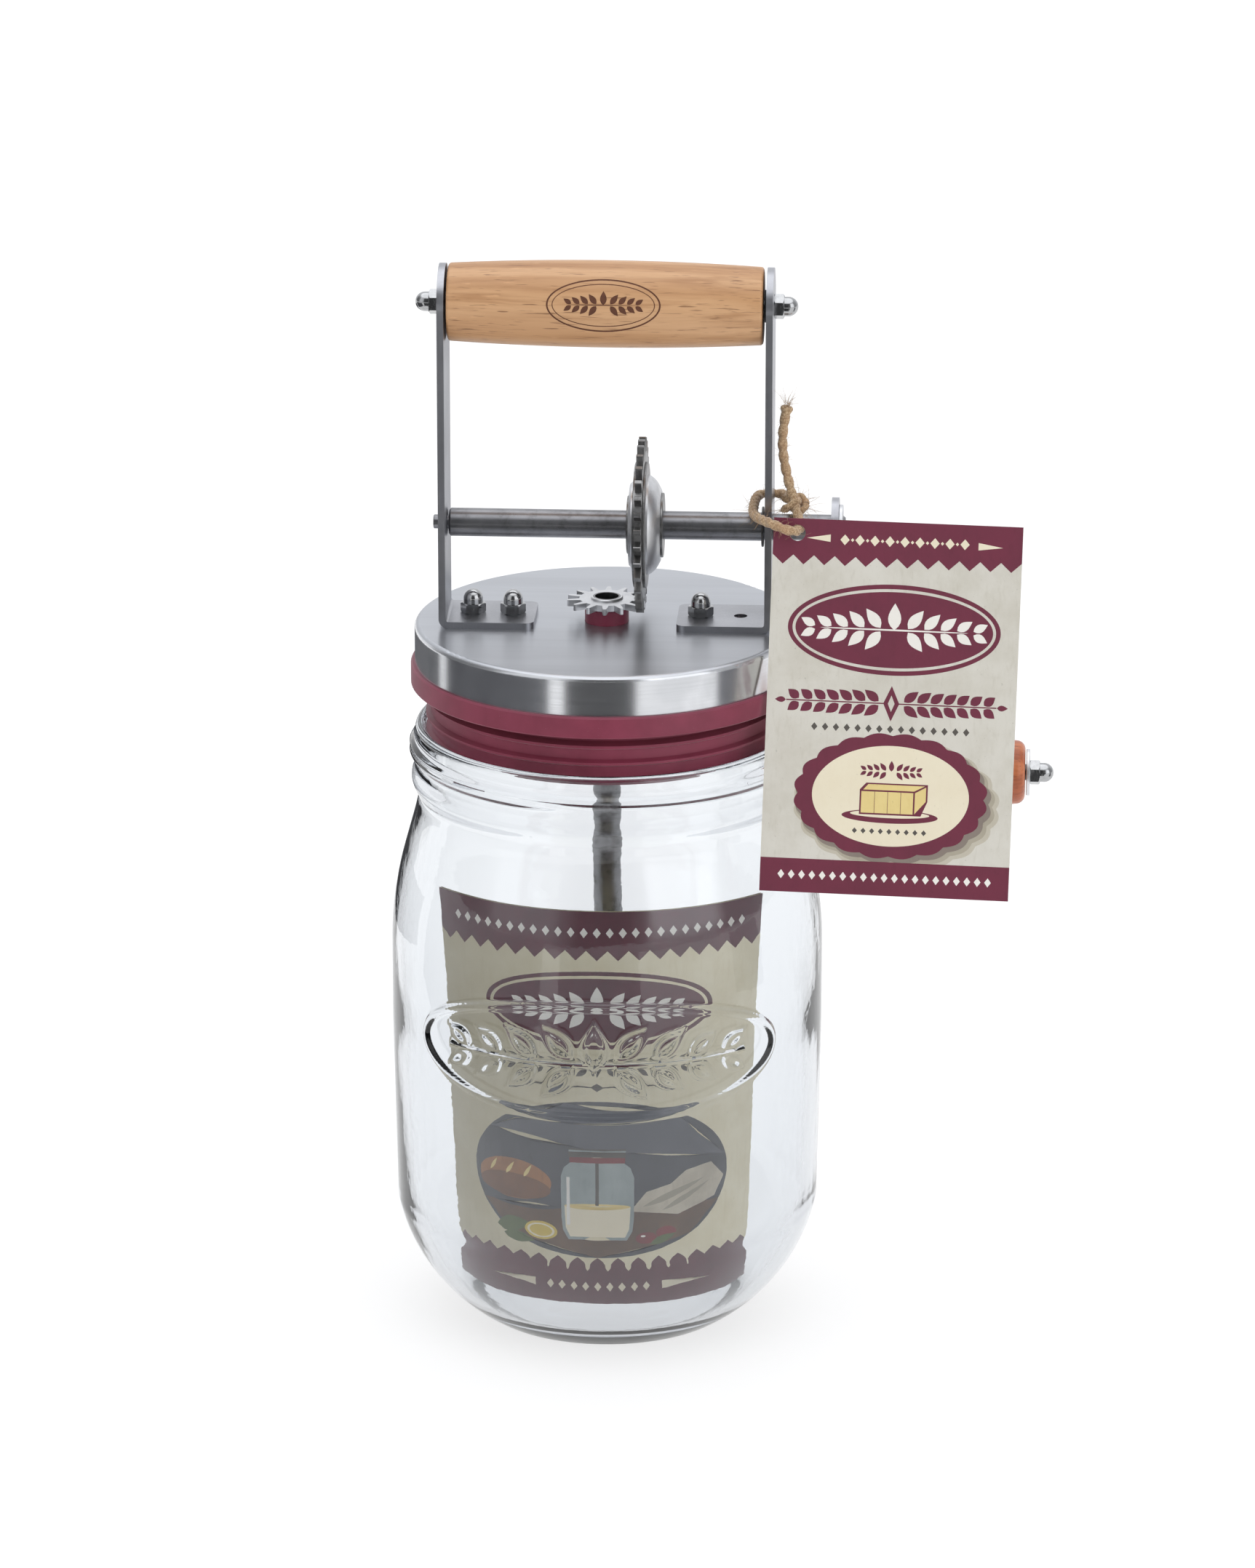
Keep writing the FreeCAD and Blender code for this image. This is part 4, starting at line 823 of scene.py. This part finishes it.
def tag_layers():
    """The tag's print, drawn on a 59 by 90.5 mm card and scaled to the tag's size."""
    wide, top, middle = 59, 90.5, 29.5
    badge, title, rule, edge = 64.4, 46.6, 40.4, top - 4.75
    out, put = press()
    put(BURGUNDY, zigzag(0, wide, top, top - 8.8, -2.3, 12))
    put(LIGHT, [(8.0, top - 4.6), (13.6, top - 3.6), (13.6, top - 5.4)])
    put(LIGHT, [(54.4, top - 5.2), (48.6, top - 4.2), (48.6, top - 6.0)])
    put(LIGHT, *lozenges(17.0, 45.4, edge, 9, 1.1, 1.3), *lozenges(18.8, 43.6, edge, 8, 0.4, 0.45))
    put(BURGUNDY, ellipse(middle, badge, 25.2, 11.0, 110))
    put(CREAM, ellipse(middle, badge, 24.1, 9.9, 110))
    put(BURGUNDY, ellipse(middle, badge, 23.4, 9.2, 110))
    put(PALE, ellipse(middle, badge, 17.6, 0.2, 24), *sprig(middle, badge, 1.25, 5))
    # a garland in place of the title, and a row of lozenges in place of the line below it
    for side in (-1, 1):
        for k in range(7):
            root = middle + side * (3.0 + 3.15 * k)
            for lift in (-1, 1):
                lean = lift * (90 - side * 52)
                put(BURGUNDY, leaf(root, title + lift * 0.5, 4.3 - 0.16 * k, 1.12, lean))
        put(BURGUNDY, leaf(middle + side * 25.0, title, 2.6, 0.7, 90 - side * 90))
    put(BURGUNDY, bar(4.6, 46.45, 54.4, 46.75), diamond(middle, title, 1.9, 4.3))
    put(CREAM, diamond(middle, title, 0.8, 2.0))
    put(GREY, *lozenges(11.5, 47.5, rule, 15, 0.75, 0.95))
    # the scalloped seal, with its soft shadow and a pat of butter on a dish
    seal = 30.2
    put(HALO, ellipse(31.7, 22.2, 23.6, 15.6, 160, 20, 0.04))
    put(SHADE, ellipse(31.4, 22.6, 22.9, 15.1, 160, 20, 0.04))
    put(DEEP, ellipse(30.9, 23.2, 22.5, 14.8, 160, 20, 0.04))
    put(BURGUNDY, ellipse(seal, 24.2, 22.0, 14.6, 160, 20, 0.05))
    put(LIGHT, ellipse(seal, 24.2, 18.6, 12.2, 96))
    put(BURGUNDY, ellipse(seal, 19.3, 11.4, 1.7, 48))
    put(LIGHT, ellipse(seal, 19.8, 9.4, 0.9, 48))
    put(BURGUNDY, [(22.9, 19.6), (37.5, 19.6), (39.0, 23.2), (39.0, 27.3), (24.4, 27.3), (22.9, 25.6)])
    put(BUTTER, bar(23.3, 20.0, 35.6, 25.2))
    put(BUTTER, [(36.0, 20.1), (38.6, 23.2), (38.6, 26.7), (36.0, 25.2)])
    put(BUTTER, [(23.7, 25.6), (35.8, 25.6), (38.3, 26.95), (24.9, 26.95)])
    put(BURGUNDY, *(bar(23.3 + 3.1 * k, 20.0, 23.42 + 3.1 * k, 25.2) for k in (1, 2, 3)))
    put(BURGUNDY, *sprig(seal, 30.2, 0.5, 4))
    put(GREY, *lozenges(22.0, 38.4, 15.6, 9, 0.6, 0.7))
    put(BURGUNDY, bar(0, 0, wide, TAG_BAND))
    put(PALE, *lozenges(5.0, 54.0, 4.3, 21, 0.8, 1.1))
    return [(ink, [(u * TAG_WIDTH / wide, v * TAG_HEIGHT / top) for u, v in shape]) for ink, shape in out]


def make_tag():
    size, stock = (TAG_WIDTH, TAG_HEIGHT, TAG_PAPER), ("lid", "printed_card", CREAM, 3.0, (5.9, TAG_HEIGHT - 3.55, 2.0))
    front = printed("tag_front", size, on_tag, 0.0, tag_layers(), *stock)
    bands = ((BURGUNDY, 0, TAG_BAND), (BURGUNDY, TAG_HEIGHT - 9, TAG_HEIGHT + 0.5))
    printed("tag_rear", size, on_tag, 0.52, [], *stock, bands)
    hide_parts("hang_tag")


make_tag()


# The booklet: two bows, one low and one high, with a straight line between them.
BOOK_LOW = (15.0, 38.0, 16.8, 35.0)
BOOK_HIGH = (119.0, 42.5, 26.0, 39.3)
BOOK_WIDTH, BOOK_HEIGHT, BOOK_PAPER = 86.0, 104.0, 0.22
BOOK_BAND = 8.6


def on_bow(bow, share, sink):
    """A point on a bow: its height, its middle and edge depths and its half width are in millimetres."""
    height, middle, edge, half = bow
    sag = middle - edge
    radius = (half**2 + sag**2) / (2 * sag)
    angle = math.asin(half / radius) * share
    reach = radius - sink
    return Vector((reach * math.sin(angle), radius - middle - reach * math.cos(angle), height))


def on_booklet(u, v, w):
    """place() for the booklet's leaves."""
    share = 2 * u / BOOK_WIDTH - 1
    return on_bow(BOOK_LOW, share, w).lerp(on_bow(BOOK_HIGH, share, w), v / BOOK_HEIGHT)


def booklet_layers():
    top, middle = BOOK_HEIGHT, BOOK_WIDTH / 2
    badge, title = 78.0, 62.4
    out, put = press()
    put(BOOK_BURGUNDY, zigzag(0, BOOK_WIDTH, top, top - 10.2, -2.6, 17))
    put(PALE, *lozenges(6.0, 80.0, top - 5.5, 25, 0.95, 1.35))
    put(BOOK_BURGUNDY, ellipse(middle, badge, 29, 10.4, 110))
    put(BOOK_CREAM, ellipse(middle, badge, 27.7, 9.3, 110))
    put(BOOK_BURGUNDY, ellipse(middle, badge, 26.9, 8.5, 110))
    put(PALE, ellipse(middle, badge, 19.0, 0.2, 24), *sprig(middle, badge, 1.22, 5))
    for side in (-1, 1):
        for k in range(7):
            for lift in (-1, 1):
                lean = lift * (90 - side * 55)
                put(GREY, leaf(middle + side * (2.4 + 3.6 * k), title + lift * 0.3, 3.3, 0.75, lean))
    put(GREY, bar(middle - 27, 62.3, middle + 27, 62.55), diamond(middle, title, 1.2, 2.4))
    put(GREY, bar(middle - 18, 57.4, middle + 18, 57.7), diamond(middle, 57.55, 1.6, 1.0))
    # the oval picture: a plain jar of cream on a board, with a loaf, a cloth and some fruit
    x, y = middle, 32.5

    def inside(shape):
        """A shape with its points pulled back to the picture's edge."""
        shares = [max(1.0, math.hypot((u - x) / 33.9, (v - y) / 21.4)) for u, v in shape]
        return [(x + (u - x) / share, y + (v - y) / share) for (u, v), share in zip(shape, shares)]

    def near(*points):
        return inside([(x + across, y + up) for across, up in points])

    put(NIGHT, ellipse(x, y, 34.0, 21.5, 110))
    put(DUSK, near((-30, 12), (-8, 21), (20, 19), (33, 4), (6, 8)))
    put(BOARD, near((-33, -9), (-8, -7.4), (33, -8.2), (31, -21), (0, -22), (-31, -21)))
    put(NIGHT, inside(ellipse(x - 20, y - 6.5, 12.5, 2.4, 40)))
    put(LOAF, inside(ellipse(x - 22, y - 1.5, 10.5, 5.4, 40)))
    put(CRUST, inside(ellipse(x - 22, y - 3.4, 10.3, 3.3, 40)))
    put(BUTTER, *(inside(leaf(x - 29 + 5 * k, y - 0.6, 4.2, 0.5, 58)) for k in range(3)))
    put(CLOTH, near((8, -8), (12, -3), (18, -1.5), (22, 1.6), (29, 2.6), (33, -2), (30, -7), (20, -10)))
    put(SHADE, inside(leaf(x + 11, y - 7, 17, 0.9, 20)), inside(leaf(x + 16, y - 8.4, 14, 0.7, 26)))
    put(PANE, mirrored(x, y, [(7.2, -16), (8.6, -13.6), (9, -10), (9, 1), (8.2, 3.6), (6.6, 5)]))
    put(LIGHT, mirrored(x, y, [(6.8, -15.2), (7.9, -12.8), (8.2, -6.8)]))
    put(BUTTER, ellipse(x, y - 6.8, 8.2, 0.8, 30))
    put(PALE, bar(x - 7.6, y - 12, x - 6.8, y + 1))
    put(GREY, bar(x - 0.4, y - 6.4, x + 0.4, y + 5), bar(x - 7.0, y + 6.4, x + 7.0, y + 8.8))
    put(BERRY, bar(x - 6.8, y + 5.0, x + 6.8, y + 6.4))
    put(PANE, bar(x - 7.0, y + 7.9, x + 7.0, y + 8.4))
    put(GREEN, leaf(x - 27, y - 15, 10, 2.2, 12), leaf(x - 25, y - 17, 9, 1.6, -4))
    for ink, wide, tall in ((LEMON, 4.4, 2.5), (LIGHT, 3.7, 1.95), (LEMON, 3.1, 1.55)):
        put(ink, ellipse(x - 14.5, y - 14.4, wide, tall, 30))
    put(BERRY, ellipse(x + 12, y - 15.6, 2.6, 1.6, 24), ellipse(x + 17, y - 14.4, 2.6, 1.6, 24))
    put(PALE, ellipse(x + 11.2, y - 15.0, 0.6, 0.3, 10))
    put(GREEN, leaf(x + 13, y - 17.4, 7, 1.1, 20))
    put(BOOK_BURGUNDY, zigzag(0, BOOK_WIDTH, 0, BOOK_BAND, 2.4, 17))
    put(LIGHT, [(14, 4.2), (27, 5.4), (27, 3.4)], [(72, 4.2), (59, 5.4), (59, 3.4)])
    put(LIGHT, *lozenges(31, 55, 4.4, 9, 0.9, 1.2))
    return out


def make_booklet():
    size, stock = (BOOK_WIDTH, BOOK_HEIGHT, BOOK_PAPER), ("jar", "printed_paper", BOOK_CREAM, 2.2, None)
    front = printed("booklet_front", size, on_booklet, 0.0, booklet_layers(), *stock)
    bands = ((BOOK_BURGUNDY, 0, BOOK_BAND), (BOOK_BURGUNDY, BOOK_HEIGHT - 10, BOOK_HEIGHT + 1))
    printed("booklet_rear", size, on_booklet, 0.5, [], *stock, bands)
    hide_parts("instruction_booklet")


make_booklet()


# ---- twine
TWINE_ROUTE = [
    (46.3, -3.4, 213.0), (45.4, 3.6, 211.8), (44.0, 11.9, 211.0), (36.8, 11.9, 211.0), (36.2, 1.5, 210.9),
    (36.5, -9.4, 211.2), (41.0, -18.9, 212.3), (46.0, -20.9, 210.8), (48.5, -17.3, 210.0), (48.0, -11.6, 211.0),
    (46.6, -7.4, 214.0), (45.0, -5.6, 219.4), (43.6, -5.0, 225.6), (43.4, -4.9, 232.0), (44.6, -5.0, 238.2),
]
TWINE_RADIUS, TWINE_STEP = 1.25, 0.35
KNOT_CENTRE = Vector((46.4, -5.5, 213.4))
KNOT_RADIUS, KNOT_POINTS = 0.95, 220
HAIR_RADIUS, HAIR_PARTS = 0.045, 5
TWINE_HAIRS, KNOT_HAIRS, END_HAIRS, LOOP_HAIRS = 230, 120, 36, 46


def spline_points(route):
    """Points along the smooth NURBS line whose control points are the route's."""
    curve = bpy.data.curves.new("route", "CURVE")
    curve.dimensions = "3D"
    line = curve.splines.new("NURBS")
    line.points.add(len(route) - 1)
    for point, spot in zip(line.points, route):
        point.co = (*(v * MM for v in spot), 1.0)
    line.order_u = 3
    line.use_endpoint_u = True
    curve.resolution_u = 14
    held = linked("route", curve)
    bpy.context.view_layer.update()
    mesh = bpy.data.meshes.new_from_object(held)
    points = [v.co.copy() for v in mesh.vertices]
    bpy.data.objects.remove(held)
    bpy.data.curves.remove(curve)
    bpy.data.meshes.remove(mesh)
    return points


def even(points, step):
    """Points a fixed step apart along a line."""
    out, left = [points[0]], step
    for a, b in zip(points, points[1:]):
        run = (b - a).length
        while run >= left > 0:
            a = a + (b - a).normalized() * left
            run = (b - a).length
            out.append(a)
            left = step
        left -= run
    if (out[-1] - points[-1]).length > step * 0.3:
        out.append(points[-1])
    return out


def frames_along(points, closed=False):
    """A direction and two crosswise axes at each point, carried along without twisting."""
    count = len(points)
    axis = None
    out = []
    for k in range(count):
        ahead = points[(k + 1) % count] if closed or k < count - 1 else points[k]
        behind = points[k - 1] if closed or k else points[k]
        way = (ahead - behind).normalized()
        if axis is None:
            axis = way.orthogonal().normalized()
        axis = (axis - way * axis.dot(way)).normalized()
        out.append((way, axis, way.cross(axis)))
    return out


def twisted(name, points, radius, pitch, closed=False, fray=0.0, seed=3):
    """A piece of twisted yarn: its section is two plies that turn as it goes."""
    rng = random.Random(seed)
    sides, repeat = 20, 37
    rough = [[rng.uniform(-1, 1) for _ in range(sides)] for _ in range(repeat)]
    verts, run = [], 0.0
    frames = frames_along(points, closed)
    for k, (spot, (_, first, second)) in enumerate(zip(points, frames)):
        if k:
            run += (spot - points[k - 1]).length / MM
        turn = math.tau * run / pitch
        swell = 1.0
        if not closed:
            left = (len(points) - 1 - k) * (points[1] - points[0]).length / MM
            swell = 0.45 + 0.55 * smoothstep(0, 0.8, min(run, left) + 0.3) + fray * (1 - smoothstep(0, 3.2, left))
        for j in range(sides):
            angle = math.tau * j / sides
            lobes = 0.72 + 0.28 * abs(math.cos(angle - turn))
            fluff = 0.035 * rough[k % repeat][j]
            reach = radius * swell * (lobes + fluff)
            verts.append(spot + (first * math.cos(angle) + second * math.sin(angle)) * reach)
    rings = [range(k * sides, (k + 1) * sides) for k in range(len(points))]
    faces = skin(rings, closed)
    if not closed:
        faces += [rings[0][::-1], rings[-1]]
    return piece(name, verts, faces, "lid", "jute_twine", sharp=80)


def hairs(name, roots, seed, short, long):
    """Loose fibres: thin bent three-sided hairs that stand off the yarn at random."""
    rng = random.Random(seed)
    verts, faces = [], []
    for spot, out in roots:
        way = (out + Vector([rng.uniform(-0.9, 0.9) for _ in range(3)])).normalized()
        side = way.orthogonal().normalized()
        bend = Vector([rng.uniform(-1, 1) for _ in range(3)]) * 0.22 + Vector((0, 0, -0.05))
        length = rng.uniform(short, long) * MM
        here = spot.copy()
        start = len(verts)
        for k in range(HAIR_PARTS + 1):
            thin = HAIR_RADIUS * MM * (1 - 0.75 * k / HAIR_PARTS)
            across = way.cross(side).normalized()
            for j in range(3):
                angle = math.tau * j / 3
                verts.append(here + (side * math.cos(angle) + across * math.sin(angle)) * thin)
            here = here + way * (length / HAIR_PARTS)
            way = (way + bend).normalized()
            side = (side - way * side.dot(way)).normalized()
        rings = [range(start + 3 * k, start + 3 * k + 3) for k in range(HAIR_PARTS + 1)]
        faces += skin(rings) + [rings[0][::-1], rings[-1]]
    return piece(name, verts, faces, "lid", "jute_twine")


def make_twine():
    """The twine, its knot as a trefoil of yarn, and the loose fibres on both."""
    line = even(spline_points(TWINE_ROUTE), TWINE_STEP * MM)
    twine = twisted("twine_loop", line, TWINE_RADIUS * MM, pitch=6.4, fray=0.35)
    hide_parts("tag_twine")
    loop = []
    for k in range(KNOT_POINTS):
        t = math.tau * k / KNOT_POINTS
        reach = 2.0 + 0.95 * math.cos(3 * t)
        spot = Vector((reach * math.cos(2 * t), 1.15 * reach * math.sin(2 * t), 1.35 * math.sin(3 * t)))
        loop.append(KNOT_CENTRE * MM + spot * MM)
    knot = twisted("twine_wraps", loop, KNOT_RADIUS * MM, pitch=5.2, closed=True, seed=8)
    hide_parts("twine_knot")
    rng = random.Random(21)
    frames = frames_along(line)
    roots = []
    for _ in range(TWINE_HAIRS):
        k = rng.randrange(len(line))
        angle = rng.uniform(0, math.tau)
        _, first, second = frames[k]
        out = first * math.cos(angle) + second * math.sin(angle)
        roots.append((line[k] + out * TWINE_RADIUS * 0.8 * MM, out))
    fuzz = hairs("twine_fuzz", roots, 4, 0.7, 2.4)
    roots = []
    for _ in range(KNOT_HAIRS):
        k = rng.randrange(KNOT_POINTS)
        out = (loop[k] - KNOT_CENTRE * MM).normalized()
        roots.append((loop[k] + out * 0.7 * MM, out))
    for _ in range(END_HAIRS):
        roots.append((line[-1] + Vector([rng.uniform(-0.6, 0.6) for _ in range(3)]) * MM, Vector((0.1, 0, 1))))
    for _ in range(LOOP_HAIRS):
        k = rng.randrange(len(line) // 3, 3 * len(line) // 4)
        out = Vector((rng.uniform(-1, 0.2), rng.uniform(-0.8, 0.2), rng.uniform(-0.3, 1)))
        roots.append((line[k], out.normalized()))
    wisps = hairs("knot_fuzz", roots, 9, 1.6, 6.4)


make_twine()


# ---- the burnt mark on the handle
MARK_SPOT, MARK_LEAN = Vector((-0.2, 0.0, 261.2)), math.radians(17)
BURN_LIFT, CAST_FROM = 0.035, 30
BURNT_RINGS, RING_POINTS = (((14.0, 6.4), (13.6, 6.05)), ((12.6, 5.2), (12.4, 5.0))), 90


def make_handle_mark():
    """A thin burnt oval with a leaf sprig, laid on the grip's front."""
    mesh = NODES["handle_grip"].data
    tree = BVHTree.FromPolygons([v.co for v in mesh.vertices], [p.vertices for p in mesh.polygons])
    verts, faces = [], []
    away = Vector((0, -math.cos(MARK_LEAN), math.sin(MARK_LEAN)))
    rise = Vector((0, math.sin(MARK_LEAN), math.cos(MARK_LEAN)))

    def lay(shape):
        start = len(verts)
        for x, y in shape:
            aim = (MARK_SPOT + Vector((x, 0, 0)) + rise * y + away * CAST_FROM) * MM
            spot, normal, _, _ = tree.ray_cast(aim, -away)
            verts.append(spot + normal * BURN_LIFT * MM)
        return start

    for outer, inner in BURNT_RINGS:
        a, b = lay(ellipse(0, 0, *outer, RING_POINTS)), lay(ellipse(0, 0, *inner, RING_POINTS))
        for k in range(RING_POINTS):
            n = (k + 1) % RING_POINTS
            faces.append((a + k, b + k, b + n, a + n))
    for shape in sprig(0, 0, 0.66, 4) + [leaf(-9, 0, 18, 0.12, 0, 24)]:
        start = lay(shape)
        count = len(shape)
        half = count // 2
        for k in range(half):
            near, far = (count - k) % count, count - k - 1
            faces.append(tuple(start + n for n in dict.fromkeys((k, k + 1, far, near))))
    made, shade, shader = material("burnt_wood", Roughness=0.75)
    char = noise(shade, 1300, 4, 0.6)
    colour = mixed(shade, char, paint(112, 66, 42), paint(72, 40, 26))
    feed(shade, shader, char, 0.4, 0.00004, Base_Color=colour)
    mark = piece("handle_mark", verts, faces, "lid", "pale_wood", [made])
    work = bmesh.new()
    work.from_mesh(mark.data)
    bmesh.ops.recalc_face_normals(work, faces=work.faces)
    facing = sum(f.normal.dot(away) for f in work.faces)
    if facing < 0:
        bmesh.ops.reverse_faces(work, faces=work.faces)
    work.to_mesh(mark.data)
    work.free()


make_handle_mark()
